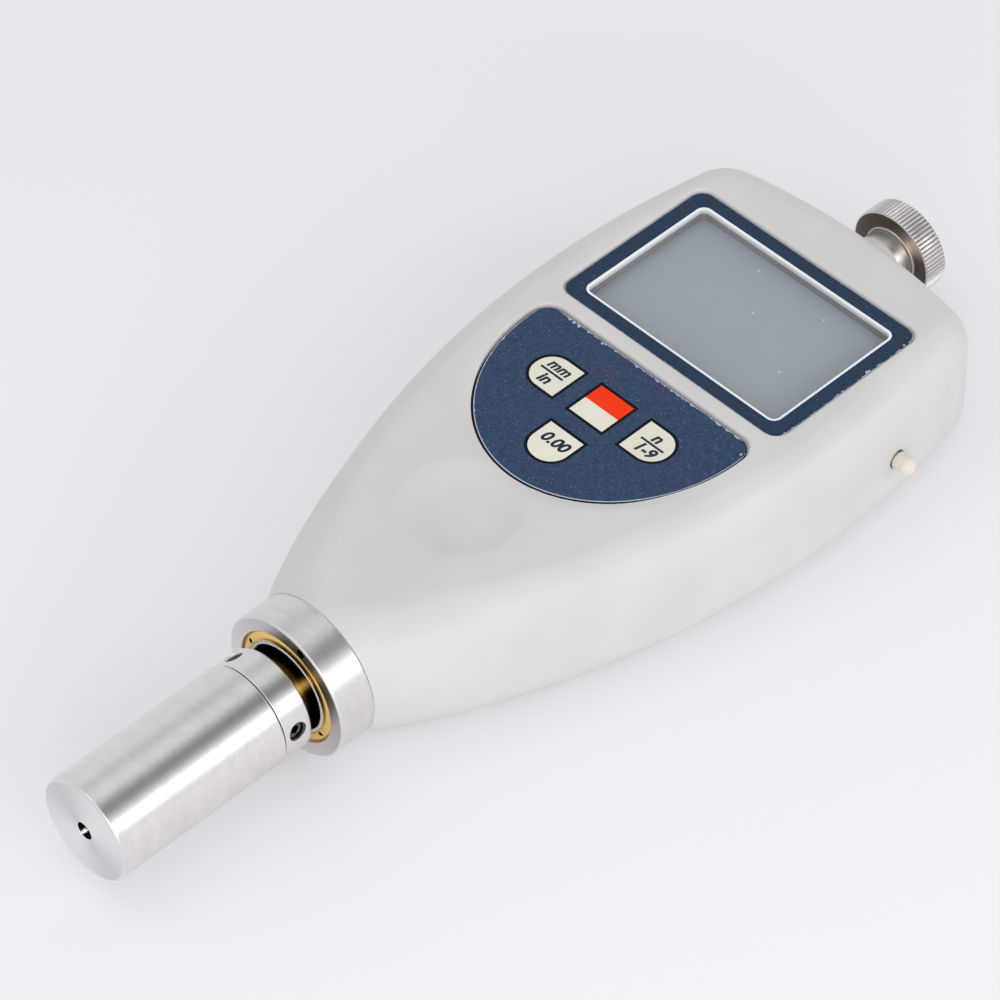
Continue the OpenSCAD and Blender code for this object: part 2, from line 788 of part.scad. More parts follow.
module sensor_coil() {
    y1 = coil_y + coil_len - bobbin_end;
    color("chocolate")
    turned([[bobbin_r, coil_y + bobbin_end], [coil_r, coil_y + bobbin_end], [coil_r, y1], [bobbin_r, y1]]);
}

module stem_plug() {
    color("ivory")
    turned([[plug_hole_r, plug_y], [stem_in_r, plug_y],
        [stem_in_r, plug_y + plug_len], [plug_hole_r, plug_y + plug_len]]);
}

module stand_post() {
    color("silver")
    turned([[0, post_head_y], [post_head_r, post_head_y], [post_head_r, post_head_y + post_head_t],
        [post_r, post_head_y + post_head_t],
        [post_r, post_end_y - post_ease], [post_r - post_ease, post_end_y], [shank_r + shank_fit, post_end_y],
        [shank_r + shank_fit, post_head_y + 1], [0, post_head_y + 1]]);
}

module rear_knob() {
    color("silver")
    difference() {
        turned([[0, post_head_y + 1.6], [shank_r, post_head_y + 1.6],
            [shank_r, knob_y], [knob_d / 2 - knob_ease, knob_y],
            [knob_d / 2, knob_y + knob_ease], [knob_d / 2, knob_end_y - knob_ease],
            [knob_d / 2 - knob_ease, knob_end_y],
            [0, knob_end_y]]);
        for (i = [0:knurl_n - 1])
            translate([0, knob_y - 1, axis_z]) rotate([-90, 360 * i / knurl_n, 0])
                translate([knob_d / 2 + knurl_out, 0, 0]) cylinder(h = knob_len + 2, r = knurl_r, $fn = 16);
    }
}

module case_screws() {
    color("silver")
    for (p = case_posts)
        translate([p[0], p[1], 1.2]) difference() {
            union() {
                cylinder(h = 1.8, r = screw_head_r);
                cylinder(h = screw_len, r = screw_r);
            }
            for (a = [0, 90])
                rotate(a) translate([-1.4, -0.3, -1]) cube([2.8, 0.6, 1.9]);
        }
}

front_shell();
rear_shell();
battery_door();
battery_cells();
contact_springs();
contact_plates();
display_label();
display_lens();
lcd_glass();
lcd_frame();
lcd_connectors();
keypad_overlay();
unit_key();
power_key();
average_key();
zero_key();
unit_plunger();
power_plunger();
average_plunger();
zero_plunger();
key_switches();
main_board();
controller_chip();
board_screws();
side_switch();
side_button();
flange_ring();
flange_nut();
retaining_ring();
liner_ring();
guide_bush();
foot();
foot_collar();
clamp_screws();
probe_stem();
stem_stop();
probe_spring();
spring_seat();
stylus();
stylus_guide();
stylus_spring();
sensor_core();
coil_bobbin();
sensor_coil();
stem_plug();
stand_post();
rear_knob();
case_screws();
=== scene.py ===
from math import atan2, cos, hypot, pi, radians, sin, sqrt

import bmesh
import bpy
from mathutils import Matrix, Vector


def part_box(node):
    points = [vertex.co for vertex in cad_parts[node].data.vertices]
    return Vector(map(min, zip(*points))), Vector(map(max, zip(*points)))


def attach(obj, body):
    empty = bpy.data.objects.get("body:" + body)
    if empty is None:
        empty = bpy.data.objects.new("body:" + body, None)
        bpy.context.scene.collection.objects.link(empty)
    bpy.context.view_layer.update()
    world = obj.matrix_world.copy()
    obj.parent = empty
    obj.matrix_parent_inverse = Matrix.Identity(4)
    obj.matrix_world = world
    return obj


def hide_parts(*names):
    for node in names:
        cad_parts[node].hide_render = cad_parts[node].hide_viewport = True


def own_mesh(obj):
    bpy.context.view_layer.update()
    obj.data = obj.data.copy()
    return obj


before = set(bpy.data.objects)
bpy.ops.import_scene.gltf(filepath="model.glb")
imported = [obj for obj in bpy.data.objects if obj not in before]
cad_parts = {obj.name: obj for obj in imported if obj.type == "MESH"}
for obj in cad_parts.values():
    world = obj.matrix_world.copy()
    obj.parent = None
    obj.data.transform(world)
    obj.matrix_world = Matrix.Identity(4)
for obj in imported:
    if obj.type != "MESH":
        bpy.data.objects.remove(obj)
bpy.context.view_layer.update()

# Sizes are in millimetres, as in the part's source; finished meshes are in metres.
MM = 0.001
# Points that lie closer together than this are one point.
WELD = 1e-4
# A plane cut takes points as near as this to lie on it.
CUT_NEAR = 1e-5
# A face whose middle is as near as this to a surface belongs to it.
NEAR = 0.01
# How far a cutter reaches past what it cuts, and how far it overlaps another cut.
PAST = 1.0
OVERLAP = 0.2
# Room between a turned piece and its hole.
FIT = 0.05
# How much of a turned piece's corners is rounded off.
CORNER_CUT, FINE_CUT = 0.12, 0.1
CORNER_SHARE = 0.45

# Case
CASE_W = 65.0
CASE_T = 25.2
AXIS_Z = CASE_T / 2
FRONT_Y = -42.6
REAR_Y = 78.8
SIDE_R = 154.0
WIDEST_Y = 38.7
EDGE_R = 6.6
NECK_R = 12.45
NECK_BLEND = 33.0
NECK_RISE = 12.0
NECK_FLAT = 0.4
REAR_ARC_R = 115.0
BOW_BACK, BOW_LENGTH = 45.0, 40.0
TAIL_CORNER_R = 0.6
TAIL_SHARES = (0.7, 0.35, 0.0)
SKIN = 0.05
WALL = 2.0
BULKHEAD = 6.6
ROOF_Z = CASE_T - WALL
SEAM_EASE = 0.015
FRONT_FACE_Z = CASE_T - 0.4
DIMPLE_Y, DIMPLE_R, DIMPLE_DEPTH = -12.4, 10.3, 1.15
DIMPLE_POWER = 2.6
PAD_DISH, PAD_DISH_REACH = 0.72, 2.6
PAD_DISH_REAR_Y, PAD_DISH_RUN = 20.0, 16.0

# Display and keypad
FILM_TOP = 24.6
FILM_T = 0.4
FILM_FLOOR = FILM_TOP - FILM_T
LABEL_W, LABEL_H, LABEL_R = 48.0, 32.9, 2.4
LABEL_Y = 49.1
WINDOW_W, WINDOW_H, WINDOW_R = 41.6, 27.1, 1.2
WINDOW_LAP = 0.15
WHITE_LINE = 0.44
LABEL_GAP = 0.26
PAD_GAP = 0.42
PAD_HALF_W = 22.9
PAD_SHOULDER_Y = 25.1
PAD_FRONT_Y = -1.7
PAD_DEPTH = PAD_SHOULDER_Y - PAD_FRONT_Y
PAD_REAR_Y = 29.1
PAD_R = 3.3
KEY_S, KEY_R = 8.1, 3.9
KEY_GAP = 0.08
KEY_RIM = 0.45
KEY_WELL = 0.6
FILM_EDGE = 0.1
# The black ledge under the keypad film's edge, painted shade of the gap: its growth at the front and at the
# rear.
FILM_LEDGE = 0.36
FILM_LEDGE_REAR = 0.12
FILM_INSETS = (0.05, 0.15, 0.3, 0.6, 1.1)
LABEL_EASE, PAD_EASE, KEY_EASE = 0.05, 0.04, 0.06
KEY_PITCH, KEY_ROW_Y, KEY_FRONT_Y = 11.0, 18.3, 7.15
RECESS_ROLL = 0.5
WEAR_BAND = 2.0
LABEL_WEAR, LABEL_WEAR_RIGHT = 0.3, 1.0
PAD_WEAR, PAD_WEAR_LEFT, PAD_WEAR_REAR = 0.45, 0.6, 1.1
LINE_LENGTH, LINE_H, LINE_R, LINE_SHIFT = 4.9, 0.42, 0.2, 0.1
LINE_LEVELS = ((0, 0.001), (0, 0.012), (-0.02, 0.015))
MARK_SLANT, MARK_WEIGHT, MARK_HALF_T, MARK_LIFT = 0.22, 0.036, 0.006, 0.008
# Each printed mark: its key, the mark, its place across and along, and its size.
KEY_MARKS = (
    ("unit", "mm", -KEY_PITCH + 0.1, KEY_ROW_Y + 1.55, 2.8),
    ("unit", "in", -KEY_PITCH - 0.1, KEY_ROW_Y - 1.65, 3.0),
    ("average", "n", KEY_PITCH - 0.2, KEY_ROW_Y + 1.5, 3.0),
    ("average", "1-9", KEY_PITCH, KEY_ROW_Y - 1.65, 2.9),
    ("zero", "0.00", 0, KEY_FRONT_Y + 0.8, 3.0),
)

# Probe
FOOT_R, FOOT_Y, FOOT_HOLE_R = 9.0, -89.9, 1.5
FOOT_FLOOR_Y = FOOT_Y + 12.0
FOOT_EASE, FOOT_END_EASE, FOOT_HOLE_EASE = 0.35, 0.3, 0.15
COLLAR_R, COLLAR_Y, COLLAR_END_Y = 8.8, -57.3, -52.0
COLLAR_EASE, COLLAR_END_EASE = 0.1, 0.3
JOINT_GAP = 0.06
STEM_R = 6.0
GRUB_Y, GRUB_R, GRUB_TURN, GRUBS = -54.8, 1.45, 8.0, 3
GRUB_ROOM, GRUB_FLARE = 0.03, 0.3
GRUB_HOLE_FROM, GRUB_HOLE_TO = 2.0, 12.0
GRUB_MOUTH_FROM, GRUB_MOUTH_TO = 8.35, 9.1
FLANGE_R, FLANGE_Y = 12.55, -49.4
FLANGE_EASE, FLANGE_REAR_EASE = 0.25, 0.15
FLANGE_HOLE_R, FLANGE_HOLE_RING, FLANGE_HOLE_DEPTH = 0.8, 11.3, 3.0
FLANGE_HOLE_TURNS = (70, 250)
FACE_NEAR = 0.05
SPIGOT_R = 8.7
SPIGOT_END_Y = FRONT_Y + BULKHEAD + 3.0
BUSH_R, BUSH_FRONT_Y = 7.2, FRONT_Y - 1.0
BRASS_R, BRASS_IN_R, BRASS_T = 10.0, 8.15, 3.2
BRASS_BEAD = ((0, 0.25), (0.06, 0.08), (0.25, -0.03), (0.5, -0.06),
              (0.85, 0.0), (1.25, 0.15), (1.6, 0.36), (1.85, 0.62))
BRASS_HOLE_R, BRASS_HOLE_RING, BRASS_HOLE_DEPTH = 0.45, 8.85, 1.8
BRASS_HOLE_TURNS = (149, 329)
# The liner: its thickness, how far it sits back, and how far in it stays white before it is painted black as
# shade.
LINER_T, LINER_BACK, LINER_SHOWN = 0.5, 0.04, 0.35
FOOT_SPRING_WIRE_R, FOOT_TRAVEL = 0.45, 2.3
STYLUS_SPRING_WIRE_R, STYLUS_TRAVEL = 0.18, 0.9

# Rear knob, post and side button
POST_R, POST_END_Y = 4.9, 85.5
POST_HEAD_R, POST_HEAD_T = 6.2, 3.0
POST_HEAD_Y = REAR_Y - WALL - POST_HEAD_T - 0.25
POST_EASE, POST_FLOOR_T = 0.06, 1.0
POST_HOLE_IN, POST_HOLE_OUT = 8.0, 4.0
SHANK_R = 2.95
SHANK_Y = POST_HEAD_Y + 1.6
KNOB_R, KNOB_Y, KNOB_END_Y, KNURLS = 8.15, 85.6, 90.2, 72
KNURL_DEPTH = 0.28
# The knob's rounded rim: how far in from the face, how far under the rim, and how deep the grooves are there.
KNOB_RIM = ((0.0, 0.3, 0.0), (0.04, 0.22, 0.0), (0.14, 0.08, 0.08), (0.25, 0.0, KNURL_DEPTH))
HUB_R = 4.95
HUB_BEAD = ((-0.2, 0.03), (-0.25, 0.15), (-0.18, 0.32), (0.0, 0.38))
BUTTON_Y, BUTTON_Z, BUTTON_R, BUTTON_OUT, BUTTON_GAP = 52.7, 11.8, 1.55, 3.6, 0.15
BUTTON_HOLE_REACH = 6.0
BUTTON_PIN_R, BUTTON_PIN_IN = 0.85, -5.4
BUTTON_DISC_R, BUTTON_DISC_IN, BUTTON_DISC_OUT = 2.2, -3.1, -2.4
BUTTON_STEM_R, BUTTON_STEM_OUT = 1.0, 0.15
# The foot of the button's cap: how far inside its radius, and how far out of the case.
BUTTON_CAP_FOOT = ((0.2, 0.2), (0.07, 0.28), (0.04, 0.45), (0.04, 1.3))

# Back
BAY_HALF_W, BAY_FRONT_Y, BAY_REAR_Y = 21.9, 11.6, 62.4
BAY_ROOF, BAY_WALL, BAY_LAP = 13.2, 1.2, 0.5
DOOR_Z, DOOR_T, DOOR_LEDGE, DOOR_GAP = 0.45, 1.3, 0.6, 0.3
DOOR_R, DOOR_OPENING_R = 0.6, 0.8
# Edges of the door and its opening, and of a grip groove: growth and height.
DOOR_EDGE = ((-0.35, 0.0), (-0.1, 0.1), (0, 0.35), (0, DOOR_T))
DOOR_MOUTH = ((0.5, -0.4), (0.0, 0.2))
GRIP_EDGE = ((0.25, -0.1), (0.1, DOOR_Z + 0.1), (-0.15, DOOR_Z + 0.4))
GRIPS, GRIP_PITCH, GRIP_BACK = 5, 2.0, 3.5
GRIP_W, GRIP_H, GRIP_R = 14.0, 1.0, 0.45
NOTCH_R, NOTCH_BACK, NOTCH_Z = 8.0, 3.4, -6.8
HOOK_X, HOOK_HALF_W, HOOK_REACH = 12.0, 3.0, 1.7
HOOK_ROOM, HOOK_SLOT_REACH, HOOK_SLOT_Z, HOOK_SLOT_TOP = 0.4, 2.1, 0.7, 4.0
CASE_POSTS = ((-14.5, -19.0), (14.5, -19.0), (-21.0, 68.5), (21.0, 68.5))
SCREW_HEAD_R, SCREW_ROOM, SCREW_DEPTH, SCREW_MOUTH = 2.2, 0.3, 3.0, 0.4


# Shapes

def smooth(t):
    u = min(max(t, 0.0), 1.0)
    return u * u * (3 - 2 * u)


def side_arc(y):
    return CASE_W / 2 - SIDE_R + sqrt(SIDE_R ** 2 - (y - WIDEST_Y) ** 2)


def neck_share(y):
    return 1 - smooth((y - FRONT_Y) / NECK_BLEND)


def half_w(y):
    return side_arc(y) + (NECK_R - side_arc(FRONT_Y)) * neck_share(y)


def half_h(y):
    full = CASE_T / 2 + SKIN
    return full - (full - NECK_R) * (1 - smooth((y - FRONT_Y) / NECK_RISE))


def corner_r(y):
    return EDGE_R + (NECK_R - NECK_FLAT - EDGE_R) * neck_share(y)


def bow(y):
    return smooth((y - REAR_Y + BOW_BACK) / BOW_LENGTH)


def bowed_w(y):
    return half_w(y - bow(y) * half_w(y) ** 2 / (2 * REAR_ARC_R))


def case_section(w, h, r, y, bend, arc, top, bottom):
    """One rounded section of the case, bent with the bowed rear end and levelled on both flat faces."""
    flat = []

    def bent(x, z):
        return Vector((x, y - bend * x * x / (2 * REAR_ARC_R), min(max(AXIS_Z + z, 0), CASE_T)))

    def quarter(cx, cz, start):
        flat.extend((cx + r * cos(start + pi / 2 * i / arc), cz + r * sin(start + pi / 2 * i / arc))
                    for i in range(arc + 1))

    quarter(w - r, h - r, 0)
    flat.extend(((w - r) * (1 - 2 * i / top), h) for i in range(1, top))
    quarter(r - w, h - r, pi / 2)
    quarter(r - w, r - h, pi)
    flat.extend(((r - w) * (1 - 2 * i / bottom), -h) for i in range(1, bottom))
    quarter(w - r, r - h, 1.5 * pi)
    return [bent(x, z) for x, z in flat]


def case_form(inset, y0, stations, tail, arc, top, bottom):
    """The solid form of the case, drawn in from the outside by an inset."""
    er = EDGE_R - inset
    y1 = REAR_Y - inset - er
    sections = []
    for i in range(stations + 1):
        y = y0 + (y1 - y0) * i / stations
        sections.append(case_section(bowed_w(y) - inset, half_h(y) - inset, corner_r(y) - inset,
                                     y, bow(y), arc, top, bottom))
    for i in range(1, tail + 1):
        a = pi / 2 * i / tail
        d = er * (1 - cos(a))
        corner = er * cos(a) + TAIL_CORNER_R * sin(a)
        sections.append(case_section(bowed_w(y1) - inset - d, half_h(y1) - inset - d, corner,
                                     y1 + er * sin(a), 1, arc, top, bottom))
    end = sections[-1]
    for share in TAIL_SHARES:
        sections.append([Vector((p.x, p.y, AXIS_Z + (p.z - AXIS_Z) * share)) for p in end])
    return lofted(sections)


def lofted(sections, ring=False, caps=True):
    """A skin through sections of equally many points, wrapped from a grid.

    A ring joins the last section to the first.
    """
    around, along = len(sections[0]), len(sections) - (0 if ring else 1)
    bm = bmesh.new()
    bmesh.ops.create_grid(bm, x_segments=around, y_segments=along, size=0.5)
    for v in bm.verts:
        i = round((v.co.x + 0.5) * around) % around
        j = round((v.co.y + 0.5) * along) % len(sections)
        v.co = sections[j][i]
    bmesh.ops.remove_doubles(bm, verts=bm.verts, dist=WELD)
    if caps and not ring:
        bmesh.ops.holes_fill(bm, edges=[e for e in bm.edges if e.is_boundary], sides=0)
    bmesh.ops.recalc_face_normals(bm, faces=bm.faces)
    return bm


def stacked(outline, levels):
    """A solid of one outline at several levels: each level is (growth, z)."""
    return lofted([[Vector((x, y, z)) for x, y in outline(g)] for g, z in levels])


def rolled_recess(outline, gap, floor_z, top_z, roll=RECESS_ROLL, steps=5):
    """A cutter for a recess whose upper rim rolls over into the face around it."""
    levels = [(gap, floor_z), (gap, top_z - roll)]
    for i in range(1, steps + 1):
        a = pi / 2 * i / steps
        levels.append((gap + roll * (1 - cos(a)), top_z - roll + roll * sin(a)))
    levels.append((gap + roll, top_z + PAST))
    return stacked(outline, levels)


def rounded_plate(w, h, r, cx=0.0, cy=0.0, arc=8):
    """An outline function for a rounded rectangle that grows by g."""
    def outline(g):
        a, b, rr = w / 2 + g, h / 2 + g, max(r + g, 0.05)
        points = []
        for sx, sy, start in ((1, 1, 0), (-1, 1, pi / 2), (-1, -1, pi), (1, -1, 1.5 * pi)):
            for i in range(arc + 1):
                t = start + pi / 2 * i / arc
                points.append((cx + sx * (a - rr) + rr * cos(t), cy + sy * (b - rr) + rr * sin(t)))
        return points
    return outline


def pad_outline(g):
    """The keypad film: half an ellipse with a straight rear edge."""
    a, b = PAD_HALF_W + g, PAD_DEPTH + g
    r, top = PAD_R + g, PAD_REAR_Y + g
    points = [(a * cos(pi + pi * i / 96), PAD_SHOULDER_Y + b * sin(pi + pi * i / 96)) for i in range(97)]
    points += [(a - r + r * cos(pi / 2 * i / 10), top - r + r * sin(pi / 2 * i / 10)) for i in range(11)]
    points += [(r - a - r * sin(pi / 2 * i / 10), top - r + r * cos(pi / 2 * i / 10)) for i in range(11)]
    return points


def key_outline(cx, cy, turn):
    """An outline function for a key with one rounded end, turned about its middle."""
    def outline(g):
        s, r = KEY_S / 2 + g, KEY_R + g
        points = [(-s, s), (-s, -s)]
        for middle, start in ((r - s, -pi / 2), (s - r, 0.0)):
            turns = [start + pi / 2 * i / 14 for i in range(15)]
            points += [(s - r + r * cos(t), middle + r * sin(t)) for t in turns]
        c, n = cos(turn), sin(turn)
        return [(cx + c * x - n * y, cy + n * x + c * y) for x, y in points]
    return outline


def square_outline(cx, cy):
    def outline(g):
        s = KEY_S / 2 + g
        return [(cx + s, cy + s), (cx - s, cy + s), (cx - s, cy - s), (cx + s, cy - s)]
    return outline


KEYS = {
    "unit": key_outline(-KEY_PITCH, KEY_ROW_Y, pi),
    "power": square_outline(0, KEY_ROW_Y),
    "average": key_outline(KEY_PITCH, KEY_ROW_Y, 0),
    "zero": key_outline(0, KEY_FRONT_Y, -pi / 2),
}
LABEL_OUTLINE = rounded_plate(LABEL_W, LABEL_H, LABEL_R, 0, LABEL_Y)
WINDOW_OUTLINE = rounded_plate(WINDOW_W, WINDOW_H, WINDOW_R, 0, LABEL_Y)


def eased(points, cut, steps=3, closed=True):
    """A profile with each corner rounded off over a short cut."""
    out = []
    for i, p in enumerate(points):
        p = Vector(p)
        if not closed and i in (0, len(points) - 1):
            out.append(p)
            continue
        before, after = Vector(points[i - 1]) - p, Vector(points[(i + 1) % len(points)]) - p
        reach = min(cut, CORNER_SHARE * before.length, CORNER_SHARE * after.length)
        start, end = p + before.normalized() * reach, p + after.normalized() * reach
        for k in range(steps + 1):
            t = k / steps
            out.append(start * (1 - t) ** 2 + p * 2 * t * (1 - t) + end * t * t)
    return out


def in_order(bm):
    """Sorts points, edges and faces by place, because a spin leaves them in another order each run."""
    for items, middle in ((bm.verts, lambda v: v.co),
                          (bm.edges, lambda e: e.verts[0].co + e.verts[1].co),
                          (bm.faces, lambda f: f.calc_center_median())):
        ranks = {item: i for i, item in enumerate(sorted(items, key=lambda item: tuple(middle(item))))}
        items.sort(key=lambda item: ranks[item])
        items.index_update()


def turned(profile, closed=True, steps=144):
    """A form turned about the probe axis from points of radius and place along it."""
    bm = bmesh.new()
    line = [bm.verts.new((r, y, AXIS_Z)) for r, y in profile]
    edges = [bm.edges.new(pair) for pair in zip(line, line[1:])]
    if closed:
        edges.append(bm.edges.new((line[-1], line[0])))
    bmesh.ops.spin(bm, geom=line + edges, cent=(0, 0, AXIS_Z), axis=(0, 1, 0), angle=2 * pi,
                   steps=steps, use_merge=True)
    in_order(bm)
    bmesh.ops.remove_doubles(bm, verts=bm.verts, dist=WELD)
    bmesh.ops.recalc_face_normals(bm, faces=bm.faces)
    return bm


def drill(radius, start, end, steps=48, flare=0.0):
    """A straight cutter between two points, with an optional flared mouth at its end."""
    start, end = Vector(start), Vector(end)
    bm = bmesh.new()
    bmesh.ops.create_cone(bm, cap_ends=True, segments=steps, radius1=radius, radius2=radius + flare,
                          depth=(end - start).length)
    turn = Vector((0, 0, 1)).rotation_difference(end - start).to_matrix().to_4x4()
    bmesh.ops.transform(bm, matrix=Matrix.Translation((start + end) / 2) @ turn, verts=bm.verts)
    return bm


def block(x0, x1, y0, y1, z0, z1):
    bm = bmesh.new()
    bmesh.ops.create_cube(bm, size=1)
    bmesh.ops.scale(bm, vec=(x1 - x0, y1 - y0, z1 - z0), verts=bm.verts)
    bmesh.ops.translate(bm, vec=((x0 + x1) / 2, (y0 + y1) / 2, (z0 + z1) / 2), verts=bm.verts)
    return bm


def ball(radius, place):
    bm = bmesh.new()
    bmesh.ops.create_uvsphere(bm, u_segments=64, v_segments=32, radius=radius)
    in_order(bm)
    bmesh.ops.translate(bm, vec=place, verts=bm.verts)
    return bm


def on_ring(radius, turn):
    """A place on a ring about the probe axis, across and up."""
    return radius * cos(radians(turn)), AXIS_Z + radius * sin(radians(turn))


def from_axis(p):
    """How far a point lies from the probe axis."""
    return hypot(p.x, p.z - AXIS_Z)


# Making pieces

def loose(bm, name="working"):
    mesh = bpy.data.meshes.new(name)
    bm.to_mesh(mesh)
    bm.free()
    obj = bpy.data.objects.new(name, mesh)
    bpy.context.scene.collection.objects.link(obj)
    return obj


def finished_mesh(obj):
    """The mesh that an object has after its modifiers, or that its lettering makes."""
    mesh = bpy.data.meshes.new_from_object(obj.evaluated_get(bpy.context.evaluated_depsgraph_get()))
    bm = bmesh.new()
    bm.from_mesh(mesh)
    bpy.data.meshes.remove(mesh)
    bmesh.ops.remove_doubles(bm, verts=bm.verts, dist=WELD)
    return bm


def combined(base, parts, operation="DIFFERENCE"):
    """The base mesh with other meshes cut out of it or joined to it, all in millimetres."""
    host = loose(base)
    tools = [loose(part) for part in parts]
    for tool in tools:
        step = host.modifiers.new("cut", "BOOLEAN")
        step.operation = operation
        step.solver = "EXACT"
        step.object = tool
    bm = finished_mesh(host)
    for obj in (host, *tools):
        mesh = obj.data
        bpy.data.objects.remove(obj)
        bpy.data.meshes.remove(mesh)
    return bm


def painted(bm, rule):
    """Numbers each face's finish by a rule on the face and its middle."""
    for face in bm.faces:
        face.material_index = rule(face, face.calc_center_median())


def placed(bm, name, body, finishes, nodes=(), crease=32):
    """Turns a millimetre mesh into a finished piece that rides on a body."""
    for edge in bm.edges:
        if len(edge.link_faces) == 2:
            edge.smooth = edge.calc_face_angle() < radians(crease)
    for face in bm.faces:
        face.smooth = True
    bmesh.ops.scale(bm, vec=(MM, MM, MM), verts=bm.verts)
    piece = loose(bm, name)
    for finish in finishes:
        piece.data.materials.append(finish)
    even = piece.modifiers.new("even shading", "WEIGHTED_NORMAL")
    even.keep_sharp = True
    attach(piece, body)
    if nodes:
        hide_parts(*nodes)
    return piece


# Finishes

def srgb(r, g, b):
    """A colour that is given as it looks on a screen, 0 to 255."""
    def linear(c):
        return c / 12.92 if c <= 0.04045 else ((c + 0.055) / 1.055) ** 2.4

    return (linear(r / 255), linear(g / 255), linear(b / 255), 1.0)


# The part of a noise's range that nearly all of it lies in, and the part that slow changes of tone use.
NOISE_RANGE = (0.3, 0.7)
TONE_RANGE = (0.35, 0.65)


class Recipe:
    """A node tree, for a finish or a shared effect, to which nodes are added one line at a time."""

    def __init__(self, tree):
        self.tree = tree

    def plug(self, socket, value):
        """Links a node's output to a socket, or sets the socket to a constant."""
        if isinstance(value, bpy.types.NodeSocket):
            self.tree.links.new(value, socket)
        else:
            socket.default_value = value

    def add(self, kind, sockets=(), **settings):
        node = self.tree.nodes.new("ShaderNode" + kind)
        for key, value in settings.items():
            setattr(node, key, value)
        for key, value in dict(sockets).items():
            self.plug(node.inputs[key], value)
        return node

    def math(self, operation, *values, clamp=False):
        return self.add("Math", dict(enumerate(values)), operation=operation, use_clamp=clamp).outputs[0]

    def mix(self, share, first, second):
        """A colour between two colours."""
        node = self.add("Mix", data_type="RGBA")
        for socket, value in ((0, share), (6, first), (7, second)):
            self.plug(node.inputs[socket], value)
        return node.outputs[2]

    def span(self, value, low, high, to_low=0.0, to_high=1.0):
        """A value brought from one range to another and held there."""
        return self.add("MapRange", {0: value, 1: low, 2: high, 3: to_low, 4: to_high}).outputs[0]

    def spread(self, noise, low=0.0, high=1.0):
        """A noise brought to a range that it nearly fills."""
        return self.span(noise, *NOISE_RANGE, low, high)

    def shades(self, noise, first, second):
        """A colour that a slow noise shifts between two colours."""
        return self.mix(self.span(noise, *TONE_RANGE), first, second)

    def noise(self, place, scale, detail=2.0, roughness=0.5):
        sockets = {"Vector": place, "Scale": scale, "Detail": detail, "Roughness": roughness}
        return self.add("TexNoise", sockets).outputs[0]

    def vector(self, operation, *values, output="Vector"):
        return self.add("VectorMath", dict(enumerate(values)), operation=operation).outputs[output]

    def stretch(self, place, x, y, z):
        return self.vector("MULTIPLY", place, (x, y, z))


def effect(name, inputs, outputs):
    """A new shared effect: a node group with its inputs and outputs."""
    tree = bpy.data.node_groups.new(name, "ShaderNodeTree")
    for label, kind, default in inputs:
        socket = tree.interface.new_socket(name=label, in_out="INPUT", socket_type="NodeSocket" + kind)
        if default is not None:
            socket.default_value = default
    for label, kind in outputs:
        tree.interface.new_socket(name=label, in_out="OUTPUT", socket_type="NodeSocket" + kind)
    recipe = Recipe(tree)
    recipe.source = tree.nodes.new("NodeGroupInput").outputs
    recipe.result = tree.nodes.new("NodeGroupOutput").inputs
    return recipe


def moulded_grain():
    """Fine spark-eroded grain with a slow change of tone, as on moulded plastic and matt film."""
    r = effect("moulded grain", (("Place", "Vector", None), ("Scale", "Float", 4000.0)),
               (("Height", "Float"), ("Tone", "Float")))
    fine = r.noise(r.source["Place"], r.source["Scale"], 3.0, 0.6)
    slow = r.noise(r.source["Place"], 70.0, 2.0, 0.5)
    r.tree.links.new(fine, r.result["Height"])
    r.tree.links.new(slow, r.result["Tone"])
    return r.tree


def speckle():
    """Small separate specks, spread thinly."""
    r = effect("speckle", (("Place", "Vector", None), ("Scale", "Float", 900.0), ("Share", "Float", 0.1),
                           ("Size", "Float", 0.2)), (("Mask", "Float"),))
    cells = r.add("TexVoronoi", {"Vector": r.source["Place"], "Scale": r.source["Scale"]},
                  voronoi_dimensions="2D")
    near = r.math("LESS_THAN", cells.outputs["Distance"], r.source["Size"])
    pick = r.add("SeparateColor", {0: cells.outputs["Color"]}).outputs[0]
    chosen = r.math("LESS_THAN", pick, r.source["Share"])
    r.tree.links.new(r.math("MULTIPLY", near, chosen), r.result["Mask"])
    return r.tree


def edge_fray():
    """Where a printed film has lost its ink along its edge: full at the edge, ragged further in."""
    r = effect("edge fray", (("Place", "Vector", None), ("Edge", "Float", 1.0), ("Reach", "Float", 0.3),
                             ("Scale", "Float", 1500.0)), (("Mask", "Float"),))
    ragged = r.noise(r.source["Place"], r.source["Scale"], 4.0, 0.65)
    reach = r.math("MULTIPLY", r.span(ragged, 0.42, 0.72), r.source["Reach"])
    r.tree.links.new(r.math("LESS_THAN", r.source["Edge"], reach), r.result["Mask"])
    return r.tree


def turning_marks():
    """Fine lines that run round the probe axis, as a lathe tool leaves them."""
    r = effect("turning marks", (("Place", "Vector", None), ("Pitch", "Float", 5000.0)),
               (("Height", "Float"), ("Tone", "Float")))
    along = r.stretch(r.source["Place"], 0.006, 1.0, 0.006)
    lines = r.noise(along, r.source["Pitch"], 3.0, 0.6)
    slow = r.noise(r.stretch(r.source["Place"], 1.0, 3.0, 1.0), 160.0, 2.0, 0.5)
    mottle = r.noise(r.source["Place"], 1500.0, 3.0, 0.6)
    blend = r.math("ADD", r.math("MULTIPLY", slow, 0.4), r.math("MULTIPLY", mottle, 0.4))
    r.tree.links.new(lines, r.result["Height"])
    r.tree.links.new(r.math("ADD", blend, r.math("MULTIPLY", lines, 0.2)), r.result["Tone"])
    return r.tree


